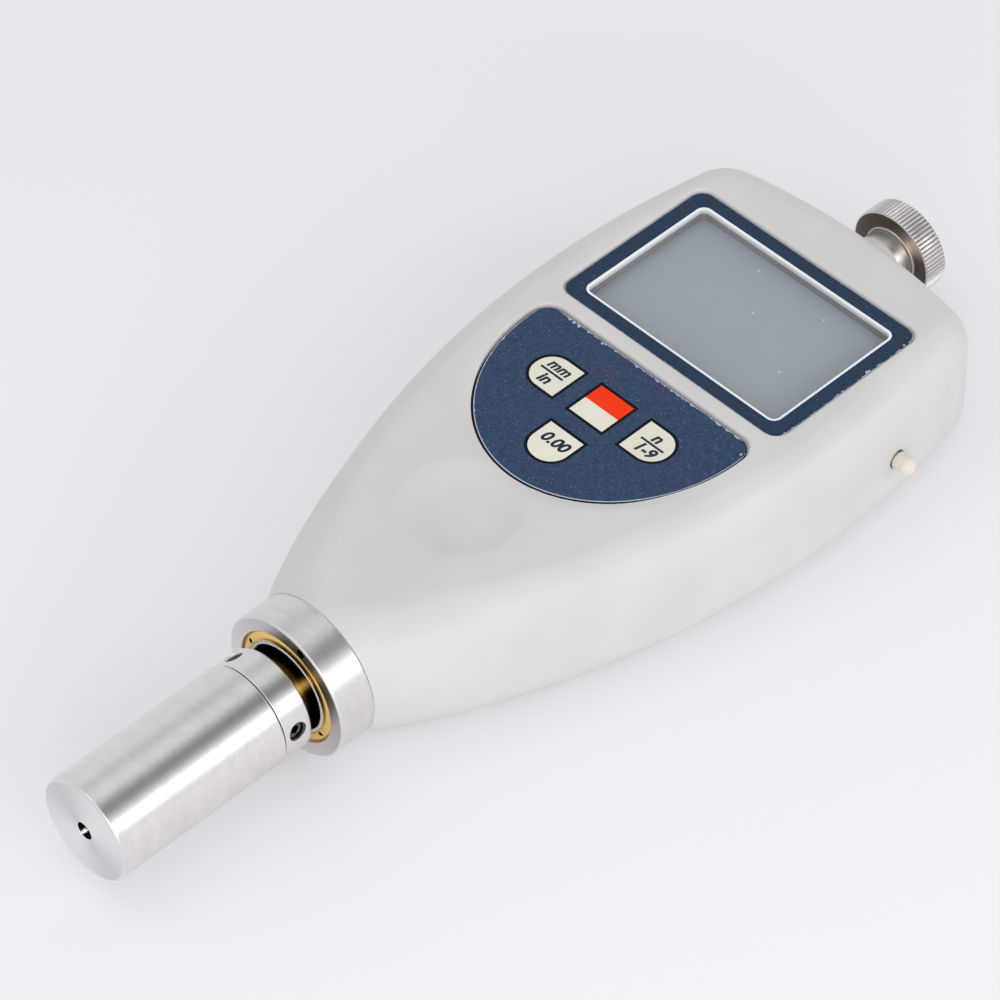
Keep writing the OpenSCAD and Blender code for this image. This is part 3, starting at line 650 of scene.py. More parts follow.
def painted_facing_sheen():
    """Painted sheen: light and dark sectors about the probe axis, painted as the reflections that the fine
    rings on a lathe-cut face show. The rings themselves come out as their own noise.
    """
    r = effect("painted facing sheen", (("Place", "Vector", None), ("Turn", "Float", 0.0), ("Folds", "Float", 2.0),
                                  ("Sharpness", "Float", 1.0)), (("Mask", "Float"), ("Rings", "Float")))
    at = r.add("SeparateXYZ", {0: r.source["Place"]}).outputs
    up = r.math("SUBTRACT", at["Z"], AXIS_Z * MM)
    angle = r.math("SUBTRACT", r.math("ARCTAN2", up, at["X"]), r.source["Turn"])
    wave = r.math("COSINE", r.math("MULTIPLY", angle, r.source["Folds"]))
    # Painted glint: where the face is painted light, as if it caught the lamps.
    painted_glint = r.math("POWER", r.span(wave, -1.0, 1.0), r.source["Sharpness"])
    radius = r.math("SQRT", r.math("ADD", r.math("MULTIPLY", up, up), r.math("MULTIPLY", at["X"], at["X"])))
    rings = r.noise(r.add("CombineXYZ", {0: radius}).outputs[0], 4000.0, 3.0, 0.6)
    r.tree.links.new(painted_glint, r.result["Mask"])
    r.tree.links.new(rings, r.result["Rings"])
    return r.tree


EFFECTS = {"grain": moulded_grain(), "specks": speckle(), "fray": edge_fray(), "turning": turning_marks(),
           "facing": painted_facing_sheen()}


class Finish(Recipe):
    """A material with one Principled shader. Constant values go straight on its sockets."""

    def __init__(self, name, **constants):
        self.material = bpy.data.materials.new(name)
        self.material.use_nodes = True
        super().__init__(self.material.node_tree)
        self.shader = self.tree.nodes["Principled BSDF"]
        for key, value in constants.items():
            self.shader.inputs[key.replace("_", " ")].default_value = value
        self.place = self.add("TexCoord").outputs["Object"]

    def use(self, effect_name, **sockets):
        node = self.add("Group", {}, node_tree=EFFECTS[effect_name])
        self.tree.links.new(self.place, node.inputs["Place"])
        for key, value in sockets.items():
            self.plug(node.inputs[key], value)
        return node.outputs

    def feed(self, socket, value):
        self.tree.links.new(value, self.shader.inputs[socket])

    def bump(self, height, distance, strength=1.0):
        node = self.add("Bump", {"Height": height, "Strength": strength, "Distance": distance})
        self.feed("Normal", node.outputs[0])


def moulded(name, colour, shade, roughness=0.45, scale=4000.0, relief=0.00001, shine=0.5):
    """Matt moulded plastic or ink with a slow change of tone."""
    f = Finish(name, Specular_IOR_Level=shine)
    grain = f.use("grain", Scale=scale)
    f.feed("Base Color", f.shades(grain["Tone"], colour, shade))
    f.feed("Roughness", f.spread(grain["Height"], roughness - 0.05, roughness + 0.06))
    f.bump(grain["Height"], relief, 0.5)
    return f.material


def metal(name, colour, shade, roughness=0.3, relief=0.0000006, spread=0.018):
    """Turned metal."""
    f = Finish(name, Metallic=1.0)
    marks = f.use("turning", Pitch=9000.0)
    f.feed("Base Color", f.shades(marks["Tone"], colour, shade))
    f.feed("Roughness", f.spread(marks["Height"], roughness - spread, roughness + spread))
    f.bump(marks["Height"], relief, 0.4)
    return f.material


def faced_metal_painted_sheen(name, light, dark, turn, folds, sharpness, roughness):
    """A lathe-cut face with painted sheen: some sectors painted lighter and others darker, as the light and
    shade it would reflect. Turn is the angle of the lightest one.
    """
    f = Finish(name, Metallic=1.0)
    face = f.use("facing", Turn=radians(turn), Folds=folds, Sharpness=sharpness)
    sheen_and_rings = f.math("ADD", face["Mask"], f.spread(face["Rings"], -0.06, 0.06), clamp=True)
    f.feed("Base Color", f.mix(sheen_and_rings, dark, light))
    f.feed("Roughness", f.spread(face["Rings"], roughness - 0.02, roughness + 0.03))
    f.bump(face["Rings"], 0.0000006, 0.4)
    return f.material


def stem_painted_glint():
    """Brass painted dark as the shade in its gap, with one painted bright glint along the side that faces the
    light.
    """
    f = Finish("brass, painted shade and glint", Roughness=0.2)
    painted_glint = f.use("facing", Turn=radians(43.0), Folds=1.0, Sharpness=200.0)["Mask"]
    f.feed("Base Color", f.mix(painted_glint, (0.075, 0.041, 0.011, 1), (0.88, 0.53, 0.12, 1)))
    # Less metallic where the glint is painted, so that the lamps light the painted glint.
    f.feed("Metallic", f.math("SUBTRACT", 1.0, f.math("MULTIPLY", painted_glint, 0.75)))
    return f.material


FLECK_R, FLECK_SQUEEZE, FLECK_STRENGTH = 0.16, 0.12, 0.7


def printed_film(name, ink, ink_light, core, reach, cut_edge, specks, chips=(), flecks=()):
    """Printed film: a pale cut edge, ink worn away where the piece says so, dust, chips and a few red scuffs.

    A chip is (x, y, radius) and a fleck is (x, y), in millimetres.
    """
    f = Finish(name, Specular_IOR_Level=0.22)
    grain = f.use("grain", Scale=2300.0)
    dots = f.use("specks", Scale=2200.0, Share=specks, Size=0.2)
    edge = f.add("Attribute", attribute_name="edge_mm").outputs["Fac"]
    wear = f.add("Attribute", attribute_name="wear").outputs["Fac"]
    worn = f.use("fray", Edge=edge, Reach=f.math("MULTIPLY", wear, reach), Scale=900.0)
    bare = f.math("MAXIMUM", worn["Mask"], f.math("LESS_THAN", edge, cut_edge))
    ragged = f.spread(f.noise(f.place, 1400.0, 3.0), 0.35, 1.25)

    def near(x, y, radius, squeeze):
        from_it = f.vector("SUBTRACT", f.place, (x * MM, y * MM, FILM_TOP * MM))
        flat = f.vector("LENGTH", f.stretch(from_it, squeeze, 1.0, 0.0), output="Value")
        return f.math("LESS_THAN", flat, f.math("MULTIPLY", ragged, radius * MM))

    for x, y, radius in chips:
        bare = f.math("MAXIMUM", bare, near(x, y, radius, 1.0))
    tone = f.mix(f.spread(grain["Height"]), ink, ink_light)
    dotted = f.mix(f.math("MULTIPLY", dots["Mask"], 0.3), tone, core)
    for x, y in flecks:
        scuff = f.math("MULTIPLY", near(x, y, FLECK_R, FLECK_SQUEEZE), FLECK_STRENGTH)
        dotted = f.mix(scuff, dotted, srgb(128, 44, 44))
    f.feed("Base Color", f.mix(bare, dotted, core))
    f.feed("Roughness", f.spread(grain["Height"], 0.36, 0.5))
    f.bump(grain["Height"], 0.00001, 0.4)
    return f.material


def clear_pane():
    """Clear pane, a little smeared. Lamp light and bounced light go through it to the display."""
    f = Finish("clear pane", Base_Color=(1, 1, 1, 1), IOR=1.46, Transmission_Weight=1.0)
    smear = f.noise(f.place, 60.0, 3.0)
    f.feed("Roughness", f.span(smear, 0.4, 0.7, 0.02, 0.06))
    through = f.add("BsdfTransparent")
    path = f.add("LightPath").outputs
    lamp_light = f.math("MAXIMUM", path["Is Shadow Ray"], path["Is Diffuse Ray"])
    both = f.add("MixShader", {0: lamp_light, 1: f.shader.outputs[0], 2: through.outputs[0]})
    out = f.tree.nodes["Material Output"]
    f.tree.links.new(both.outputs[0], out.inputs["Surface"])
    return f.material


def display_face():
    """Grey-blue reflective display, unlit, with a few specks of dust."""
    f = Finish("display face", Specular_IOR_Level=0.25)
    grain = f.use("grain", Scale=9000.0)
    dust = f.use("specks", Scale=330.0, Share=0.06, Size=0.05)
    slow = f.noise(f.place, 22.0, 1.0)
    tone = f.shades(slow, srgb(143, 154, 159), srgb(152, 162, 167))
    f.feed("Base Color", f.mix(dust["Mask"], tone, srgb(232, 234, 236)))
    f.feed("Roughness", f.spread(grain["Height"], 0.3, 0.4))
    f.bump(grain["Height"], 0.000003, 0.3)
    return f.material


CASE = moulded("case plastic", srgb(213, 211, 208), srgb(208, 206, 203), 0.42)
CREAM = moulded("cream plastic", srgb(231, 223, 210), srgb(225, 216, 202), 0.4)
GREY = moulded("grey plastic", srgb(128, 128, 133), srgb(118, 118, 124), 0.5)
# Black plastic for the plungers, switches and chip. The same black is painted shade on the liner's inner
# wall.
BLACK_AND_SHADE = moulded("black plastic and painted shade", srgb(34, 33, 33), srgb(26, 25, 26), 0.5)
WHITE_LINER = moulded("white liner", srgb(238, 238, 238), srgb(228, 228, 230), 0.35)
WHITE_INK = moulded("white ink", srgb(243, 244, 248), srgb(236, 238, 244), 0.4)
# Black ink on the key rims. The same black is painted shade on the keypad film's ledge and key holes.
BLACK_INK_AND_SHADE = moulded("black ink and painted shade", srgb(16, 14, 22), srgb(22, 20, 28), 0.5, shine=0.1)
KEY_MARK = moulded("key mark", srgb(36, 42, 54), srgb(46, 52, 64), 0.5, shine=0.12)
KEY_CREAM = moulded("key cream", srgb(233, 229, 214), srgb(226, 223, 207), 0.5, 5200.0, shine=0.3)
KEY_RED = moulded("key red", srgb(252, 58, 0), srgb(246, 52, 0), 0.5, 5200.0, shine=0.15)
LABEL = printed_film("label film", srgb(22, 47, 72), srgb(34, 60, 85), srgb(178, 186, 206),
                     reach=0.42, cut_edge=0.05, specks=0.012,
                     chips=((23.7, 54.0, 0.55), (23.9, 52.6, 0.3), (23.9, 56.4, 0.3), (23.6, 62.4, 0.25)))
KEYPAD = printed_film("keypad film", srgb(32, 54, 84), srgb(54, 77, 106), srgb(176, 184, 206),
                      reach=0.55, cut_edge=0.14, specks=0.07,
                      chips=((-17.7, 28.8, 0.3), (-16.6, 28.8, 0.34), (-15.4, 28.7, 0.36), (-13.5, 28.9, 0.3),
                             (-10.2, 28.7, 0.34), (2.1, 28.8, 0.3), (7.3, 28.9, 0.24), (22.1, 26.6, 0.3)),
                      flecks=((-5.9, 24.6), (-3.7, 24.0), (-0.7, 23.5), (3.2, 28.0)))
PANE = clear_pane()
DISPLAY = display_face()
STEEL = metal("turned steel", (0.84, 0.815, 0.805, 1), (0.735, 0.71, 0.70, 1), 0.28,
              relief=0.00000004, spread=0.008)
FLANGE_STEEL = metal("flange steel", (0.81, 0.785, 0.78, 1), (0.70, 0.677, 0.672, 1), 0.32,
                     relief=0.00000006, spread=0.01)
NICKEL = metal("nickel plate", (0.70, 0.67, 0.635, 1), (0.65, 0.62, 0.585, 1), 0.36)
KNURL = metal("knurled nickel", (0.73, 0.705, 0.695, 1), (0.66, 0.64, 0.63, 1), 0.38)
# Knurl groove walls, painted darker as shade.
KNURL_GROOVE_SHADE = metal("knurl groove, painted shade", (0.54, 0.52, 0.51, 1), (0.40, 0.38, 0.37, 1), 0.42)
# Turned faces with painted sheen: their light and dark sectors are painted reflections of light and shade.
KNOB_FACE_SHEEN = faced_metal_painted_sheen("turned nickel face, painted sheen", (0.78, 0.65, 0.50, 1), (0.13, 0.108, 0.088, 1),
                        turn=47.0, folds=2.0, sharpness=14.0, roughness=0.26)
FOOT_FACE_SHEEN = faced_metal_painted_sheen("foot face, painted sheen", (0.83, 0.815, 0.81, 1), (0.63, 0.625, 0.63, 1),
                        turn=47.0, folds=2.0, sharpness=0.8, roughness=0.3)
FLANGE_FACE_SHEEN = faced_metal_painted_sheen("flange face, painted sheen", (0.85, 0.83, 0.825, 1), (0.44, 0.43, 0.44, 1),
                          turn=222.0, folds=1.0, sharpness=0.8, roughness=0.3)
SPRING = metal("spring steel", (0.55, 0.55, 0.56, 1), (0.45, 0.45, 0.46, 1), 0.25)
DARK_STEEL = metal("blackened steel", (0.09, 0.085, 0.08, 1), (0.14, 0.13, 0.12, 1), 0.2)
# Hole and bore walls painted near black, as the shade inside them.
BORE_SHADE = metal("bore, painted shade", (0.03, 0.026, 0.022, 1), (0.045, 0.04, 0.035, 1), 0.45)
BRASS = metal("brass", (0.90, 0.60, 0.19, 1), (0.83, 0.53, 0.15, 1), 0.2)
STEM_SHADE_AND_GLINT = stem_painted_glint()
# The guide bush, painted near black as the shade deep in the neck.
BUSH_SHADE = metal("brass painted dark as shade", (0.02, 0.013, 0.006, 1), (0.015, 0.009, 0.004, 1), 0.45)
COPPER = metal("enamelled wire", (0.55, 0.22, 0.09, 1), (0.45, 0.17, 0.07, 1), 0.3)
SLEEVE = moulded("cell sleeve", srgb(70, 74, 82), srgb(62, 66, 74), 0.3)
BOARD = moulded("board lacquer", srgb(30, 96, 56), srgb(24, 84, 48), 0.35)
ELASTIC = moulded("elastic strip", srgb(224, 170, 172), srgb(212, 156, 160), 0.6)
FERRITE = moulded("ferrite", srgb(62, 60, 60), srgb(52, 50, 50), 0.6)


# Case pieces

def dimpled(bm):
    """Presses the shallow thumb dimple into the front face."""
    for v in bm.verts:
        if v.co.z > FRONT_FACE_Z:
            reach = hypot(v.co.x, v.co.y - DIMPLE_Y) / DIMPLE_R
            v.co.z -= DIMPLE_DEPTH * max(0.0, 1 - reach ** DIMPLE_POWER)
    return bm


def pad_share(p):
    """How far out a point lies in the keypad film's front curve. At 1 it is on the curve."""
    return hypot(p.x / PAD_HALF_W, min(p.y - PAD_SHOULDER_Y, 0) / PAD_DEPTH)


def front_share(y):
    """How much a place belongs to the front of the keypad: 0 at its rear part and 1 at the front."""
    return smooth((PAD_DISH_REAR_Y - y) / PAD_DISH_RUN)


def dished(bm):
    """Lowers the front face softly round the front of the keypad, so that the film lies flush there."""
    for v in bm.verts:
        if v.co.z > FRONT_FACE_Z:
            outside = (pad_share(v.co) - 1) * PAD_DEPTH
            v.co.z -= PAD_DISH * front_share(v.co.y) * (1 - smooth(outside / PAD_DISH_REACH))
    return bm


def case_half(keep_front):
    """One half of the case skin, split at the seam, with the seam edge eased."""
    bm = case_form(0, FRONT_Y, stations=118, tail=12, arc=10, top=64, bottom=32)
    if keep_front:
        dished(dimpled(bm))
    bmesh.ops.bisect_plane(bm, geom=bm.verts[:] + bm.edges[:] + bm.faces[:], dist=CUT_NEAR, clear_inner=True,
                           plane_co=(0, 0, AXIS_Z), plane_no=(0, 0, 1 if keep_front else -1))
    bmesh.ops.holes_fill(bm, edges=[e for e in bm.edges if e.is_boundary], sides=0)
    seam = [e for e in bm.edges if all(abs(v.co.z - AXIS_Z) < WELD for v in e.verts)]
    bmesh.ops.bevel(bm, geom=seam, offset=SEAM_EASE, offset_type="OFFSET", segments=2, profile=0.5,
                    affect="EDGES", material=-1)
    bmesh.ops.recalc_face_normals(bm, faces=bm.faces)
    return bm


def case_bores():
    """Cutters that both halves share: the hollow, the neck bore, the post hole and the button hole."""
    hole = Vector((half_w(BUTTON_Y), BUTTON_Y, BUTTON_Z))
    reach = Vector((BUTTON_HOLE_REACH, 0, 0))
    return [case_form(WALL, FRONT_Y + BULKHEAD, stations=40, tail=6, arc=6, top=16, bottom=16),
            drill(SPIGOT_R + FIT, (0, FRONT_Y - PAST, AXIS_Z), (0, FRONT_Y + BULKHEAD + PAST, AXIS_Z), 96),
            drill(POST_R + FIT, (0, REAR_Y - POST_HOLE_IN, AXIS_Z), (0, REAR_Y + POST_HOLE_OUT, AXIS_Z), 96),
            drill(BUTTON_R + BUTTON_GAP, hole - reach, hole + reach)]


def front_cover():
    """The front half of the case, with its two recesses and the openings in their floors."""
    cutters = case_bores()
    cutters.append(rolled_recess(LABEL_OUTLINE, LABEL_GAP, FILM_FLOOR, CASE_T))
    cutters.append(rolled_recess(pad_outline, PAD_GAP, FILM_FLOOR, CASE_T))
    openings = [(WINDOW_OUTLINE, WINDOW_LAP)] + [(outline, KEY_WELL) for outline in KEYS.values()]
    for outline, growth in openings:
        cutters.append(stacked(outline, [(growth, ROOF_Z - PAST), (growth, FILM_FLOOR + OVERLAP)]))
    placed(combined(case_half(True), cutters), "front_cover", "case", [CASE], ["front_shell"])


def rear_cover():
    """The rear half of the case, with the battery bay, the door's opening and the screw holes."""
    bay = block(-BAY_HALF_W - BAY_WALL, BAY_HALF_W + BAY_WALL, BAY_FRONT_Y - BAY_WALL, BAY_REAR_Y + BAY_WALL,
                WALL - BAY_LAP, BAY_ROOF + BAY_WALL)
    shell = combined(combined(case_half(False), case_bores()), [bay], "UNION")
    door = rounded_plate(2 * (BAY_HALF_W + DOOR_LEDGE), BAY_REAR_Y - BAY_FRONT_Y + 2 * DOOR_LEDGE,
                         DOOR_OPENING_R, 0, (BAY_FRONT_Y + BAY_REAR_Y) / 2)
    cutters = [block(-BAY_HALF_W, BAY_HALF_W, BAY_FRONT_Y, BAY_REAR_Y, -PAST, BAY_ROOF),
               stacked(door, [*DOOR_MOUTH, (0.0, DOOR_Z + DOOR_T + DOOR_GAP / 2)]),
               ball(NOTCH_R, (0, BAY_REAR_Y + NOTCH_BACK, NOTCH_Z))]
    for x in (-HOOK_X, HOOK_X):
        cutters.append(block(x - HOOK_HALF_W - HOOK_ROOM, x + HOOK_HALF_W + HOOK_ROOM,
                             BAY_FRONT_Y - HOOK_SLOT_REACH, BAY_FRONT_Y + PAST, HOOK_SLOT_Z, HOOK_SLOT_TOP))
    for x, y in CASE_POSTS:
        cutters.append(drill(SCREW_HEAD_R + SCREW_ROOM, (x, y, SCREW_DEPTH), (x, y, -OVERLAP)))
        cutters.append(drill(SCREW_HEAD_R + SCREW_ROOM, (x, y, SCREW_MOUTH), (x, y, -SCREW_MOUTH),
                             flare=2 * SCREW_MOUTH))
    placed(combined(shell, cutters), "rear_cover", "case", [CASE], ["rear_shell"])


def door_panel():
    """The battery door: a thin panel with two hooks at its hinge end and finger grips at the other end."""
    x1 = BAY_HALF_W + DOOR_LEDGE - DOOR_GAP
    y0, y1 = BAY_FRONT_Y - DOOR_LEDGE + DOOR_GAP, BAY_REAR_Y + DOOR_LEDGE - DOOR_GAP
    plate = rounded_plate(2 * x1, y1 - y0, DOOR_R, 0, (y0 + y1) / 2)
    panel = stacked(plate, [(g, DOOR_Z + z) for g, z in DOOR_EDGE])
    hook_z = (DOOR_Z + DOOR_T / 2, DOOR_Z + DOOR_T)
    hooks = [block(x - HOOK_HALF_W, x + HOOK_HALF_W, BAY_FRONT_Y - HOOK_REACH, BAY_FRONT_Y, *hook_z)
             for x in (-HOOK_X, HOOK_X)]
    grips = []
    for i in range(GRIPS):
        groove = rounded_plate(GRIP_W, GRIP_H, GRIP_R, 0, BAY_REAR_Y - GRIP_BACK - GRIP_PITCH * i)
        grips.append(stacked(groove, GRIP_EDGE))
    bm = combined(combined(panel, hooks, "UNION"), grips)
    placed(bm, "door_panel", "door", [CASE], ["battery_door"])


# Display and keypad pieces

def edge_rings(outline, insets, z):
    """Rings of points at one height, each drawn in from an outline by its inset."""
    return [[Vector((x, y, z)) for x, y in outline(-g)] for g in insets]


def mark_edges(bm, distance, wear):
    """Keeps each point's distance from the film's edge, in millimetres, and its wear, for the finish."""
    edge_layer = bm.verts.layers.float.new("edge_mm")
    wear_layer = bm.verts.layers.float.new("wear")
    for v in bm.verts:
        v[edge_layer] = distance(v.co)
        v[wear_layer] = wear(v.co)


def display_border():
    """The dark label round the window, with its white line at the window's edge."""
    sections = edge_rings(LABEL_OUTLINE, (0.0,), FILM_FLOOR)
    sections += edge_rings(LABEL_OUTLINE, (0.0,), FILM_TOP - LABEL_EASE)
    sections += edge_rings(LABEL_OUTLINE, FILM_INSETS, FILM_TOP)
    sections += edge_rings(WINDOW_OUTLINE, (-WHITE_LINE, -LABEL_EASE), FILM_TOP)
    sections += edge_rings(WINDOW_OUTLINE, (0.0,), FILM_TOP - LABEL_EASE)
    sections += edge_rings(WINDOW_OUTLINE, (0.0,), FILM_FLOOR)
    bm = lofted(sections, ring=True)
    half = Vector((LABEL_W / 2, LABEL_H / 2))

    def from_edge(p):
        q = Vector((abs(p.x) - half.x + LABEL_R, abs(p.y - LABEL_Y) - half.y + LABEL_R))
        return max(LABEL_R - hypot(max(q.x, 0), max(q.y, 0)) - min(max(q.x, q.y), 0), 0)

    def worn(p):
        return LABEL_WEAR_RIGHT if p.x > LABEL_W / 2 - WEAR_BAND else LABEL_WEAR

    def white_line(face, mid):
        inside = abs(mid.x) < WINDOW_W / 2 + WHITE_LINE and abs(mid.y - LABEL_Y) < WINDOW_H / 2 + WHITE_LINE
        return 1 if inside and mid.z > FILM_FLOOR + NEAR else 0

    mark_edges(bm, from_edge, worn)
    painted(bm, white_line)
    placed(bm, "display_border", "case", [LABEL, WHITE_INK], ["display_label"])


def window_pane():
    """The clear pane under the label: polished faces, and matt edges that show the wall round them."""
    bm = stacked(WINDOW_OUTLINE, [(0, ROOF_Z), (0, FILM_FLOOR)])
    painted(bm, lambda face, mid: 0 if abs(face.normal.z) > 0.9 else 1)
    placed(bm, "window_pane", "case", [PANE, CASE], ["display_lens"])


def keypad_sheet():
    """The keypad film with its worn edge, on a black ledge that is painted shade of the gap round it, with a
    hole for each key.
    """
    def ledge(z):
        """The edge of the black ledge, painted shade of the gap, which shows more round the front."""
        points = []
        for (x0, y0), (x1, y1) in zip(pad_outline(FILM_LEDGE_REAR), pad_outline(FILM_LEDGE)):
            share = front_share(y0)
            points.append(Vector((x0 + (x1 - x0) * share, y0 + (y1 - y0) * share, z)))
        return points

    outer = [ledge(FILM_FLOOR), ledge(FILM_TOP - FILM_EDGE)]
    outer += edge_rings(pad_outline, (0.0,), FILM_TOP - FILM_EDGE)
    outer += edge_rings(pad_outline, (0.0,), FILM_TOP - PAD_EASE)
    outer += edge_rings(pad_outline, FILM_INSETS, FILM_TOP)
    bm = lofted(outer, caps=False)
    for outline in KEYS.values():
        hole = edge_rings(outline, (-KEY_GAP,), FILM_TOP) + edge_rings(outline, (-KEY_GAP,), FILM_FLOOR)
        ring = lofted(hole, caps=False)
        working = bpy.data.meshes.new("ring")
        ring.to_mesh(working)
        ring.free()
        bm.from_mesh(working)
        bpy.data.meshes.remove(working)
    for z in (FILM_TOP, FILM_FLOOR):
        rims = [e for e in bm.edges if e.is_boundary and all(abs(v.co.z - z) < WELD for v in e.verts)]
        bmesh.ops.triangle_fill(bm, use_beauty=True, edges=rims)
    bmesh.ops.recalc_face_normals(bm, faces=bm.faces)

    def from_edge(p):
        return max(min((1 - pad_share(p)) * PAD_HALF_W, PAD_REAR_Y - p.y), 0)

    def worn(p):
        if p.y > PAD_REAR_Y - WEAR_BAND:
            return PAD_WEAR_REAR
        return PAD_WEAR_LEFT if p.x < -PAD_HALF_W / 2 else PAD_WEAR

    mark_edges(bm, from_edge, worn)
    # Faces under the film's top are black: painted shade in the gap round the film and in the key holes.
    painted(bm, lambda face, mid: 1 if mid.z < FILM_TOP - FILM_EDGE + NEAR else 0)
    placed(bm, "keypad_sheet", "case", [KEYPAD, BLACK_INK_AND_SHADE], ["keypad_overlay"])


def key_pieces():
    """The four printed key areas, each with a black rim. The power key is half red."""
    for name, outline in KEYS.items():
        bm = stacked(outline, [(0, FILM_FLOOR), (0, FILM_TOP - KEY_EASE), (-KEY_EASE, FILM_TOP),
                               (-KEY_RIM, FILM_TOP)])
        printed_area = max(bm.faces, key=lambda face: face.normal.z * face.calc_area())
        for face in bm.faces:
            face.material_index = 0 if face == printed_area else 1
        if name == "power":
            bmesh.ops.bisect_plane(bm, geom=bm.verts[:] + bm.edges[:] + bm.faces[:], dist=CUT_NEAR,
                                   plane_co=(0, KEY_ROW_Y, 0), plane_no=(0, 1, 0))
            for face in bm.faces:
                if face.material_index == 0 and face.calc_center_median().y > KEY_ROW_Y:
                    face.material_index = 2
        placed(bm, name + "_key_film", name, [KEY_CREAM, BLACK_INK_AND_SHADE, KEY_RED], [name + "_key"])


def key_line(name, x):
    """The printed dividing line of a key."""
    line = rounded_plate(LINE_LENGTH, LINE_H, LINE_R, x, KEY_ROW_Y)
    bm = stacked(line, [(g, FILM_TOP + z) for g, z in LINE_LEVELS])
    placed(bm, name + "_key_line", name, [KEY_MARK])


def key_mark(name, mark, x, y, size):
    """A printed unit or number on a key, heavy and slanted."""
    curve = bpy.data.curves.new("mark", "FONT")
    curve.body = mark
    curve.size = size
    curve.align_x = "CENTER"
    curve.align_y = "CENTER"
    curve.shear = MARK_SLANT
    curve.offset = size * MARK_WEIGHT
    curve.resolution_u = 4
    curve.extrude = MARK_HALF_T
    holder = bpy.data.objects.new("mark", curve)
    bpy.context.scene.collection.objects.link(holder)
    bm = finished_mesh(holder)
    bpy.data.objects.remove(holder)
    bpy.data.curves.remove(curve)
    bmesh.ops.translate(bm, vec=(x, y, FILM_TOP + MARK_LIFT), verts=bm.verts)
    placed(bm, name + "_key_mark_" + mark, name, [KEY_MARK])


# Turned pieces

def measuring_foot():
    """The round foot, with its turned face, which has painted sheen, and the hole that the needle stands in,
    whose walls are painted dark as shade.
    """
    end_y = COLLAR_Y - JOINT_GAP
    profile = eased([(FOOT_HOLE_R, FOOT_Y + FOOT_HOLE_EASE), (FOOT_HOLE_R + FOOT_HOLE_EASE, FOOT_Y),
                     (FOOT_R - FOOT_EASE, FOOT_Y), (FOOT_R, FOOT_Y + FOOT_EASE),
                     (FOOT_R, COLLAR_Y - FOOT_END_EASE), (FOOT_R - FOOT_END_EASE, end_y), (STEM_R, end_y),
                     (STEM_R, FOOT_FLOOR_Y), (FOOT_HOLE_R, FOOT_FLOOR_Y)], CORNER_CUT)
    bm = turned(profile, steps=192)

    def finish(face, mid):
        inside = from_axis(mid) < FOOT_HOLE_R + 2 * NEAR
        return 2 if inside else 1 if face.normal.y < -0.95 else 0

    painted(bm, finish)
    placed(bm, "measuring_foot", "probe", [STEEL, FOOT_FACE_SHEEN, BORE_SHADE], ["foot"])


def clamp_collar():
    """The collar behind the foot, with a flared hole for each clamping screw, whose walls are painted dark as
    shade.
    """
    y0, y1 = COLLAR_Y + JOINT_GAP, COLLAR_END_Y
    profile = eased([(STEM_R, y0), (COLLAR_R - COLLAR_EASE, y0), (COLLAR_R, y0 + COLLAR_EASE),
                     (COLLAR_R, y1 - COLLAR_END_EASE), (COLLAR_R - COLLAR_END_EASE, y1),
                     (STEM_R, y1)], CORNER_CUT)
    middle = Vector((0, GRUB_Y, AXIS_Z))
    hole_r = GRUB_R + GRUB_ROOM
    turns = [radians(GRUB_TURN + 360 // GRUBS * i) for i in range(GRUBS)]
    ways = [Vector((cos(a), 0, sin(a))) for a in turns]
    cutters = []
    for way in ways:
        cutters.append(drill(hole_r, middle + way * GRUB_HOLE_FROM, middle + way * GRUB_HOLE_TO))
        cutters.append(drill(hole_r, middle + way * GRUB_MOUTH_FROM, middle + way * GRUB_MOUTH_TO,
                             flare=GRUB_FLARE))
    bm = combined(turned(profile, steps=192), cutters)

    def finish(face, mid):
        from_middle = mid - middle
        for way in ways:
            depth = from_middle.dot(way)
            if depth > 0 and (from_middle - way * depth).length < hole_r + NEAR:
                return 1
        return 0

    painted(bm, finish)
    placed(bm, "clamp_collar", "probe", [STEEL, BORE_SHADE], ["foot_collar"])


def flange():
    """The flange ring in the neck of the case, with two spanner holes in its face. Its face has painted
    sheen, and its bore and holes are painted dark as shade.
    """
    profile = eased([(BUSH_R, BUSH_FRONT_Y), (BRASS_IN_R, BUSH_FRONT_Y), (BRASS_IN_R, FLANGE_Y + BRASS_T),
                     (BRASS_R, FLANGE_Y + BRASS_T), (BRASS_R, FLANGE_Y), (FLANGE_R - FLANGE_EASE, FLANGE_Y),
                     (FLANGE_R, FLANGE_Y + FLANGE_EASE), (FLANGE_R, FRONT_Y - FLANGE_REAR_EASE),
                     (FLANGE_R - FLANGE_REAR_EASE, FRONT_Y), (SPIGOT_R, FRONT_Y), (SPIGOT_R, SPIGOT_END_Y),
                     (BUSH_R, SPIGOT_END_Y)], FINE_CUT)
    holes = [on_ring(FLANGE_HOLE_RING, turn) for turn in FLANGE_HOLE_TURNS]
    cutters = [drill(FLANGE_HOLE_R, (x, FLANGE_Y + FLANGE_HOLE_DEPTH, z), (x, FLANGE_Y - PAST, z))
               for x, z in holes]
    bm = combined(turned(profile, steps=192), cutters)

    def finish(face, mid):
        faced = face.normal.y < -0.95 and abs(mid.y - FLANGE_Y) < FACE_NEAR
        in_painted_shade = from_axis(mid) < BRASS_IN_R + 2 * NEAR
        in_painted_shade = in_painted_shade or any(hypot(mid.x - x, mid.z - z) < FLANGE_HOLE_R + NEAR for x, z in holes)
        return 1 if faced else 2 if in_painted_shade else 0

    painted(bm, finish)
    placed(bm, "flange", "case", [FLANGE_STEEL, FLANGE_FACE_SHEEN, BORE_SHADE], ["flange_ring"])


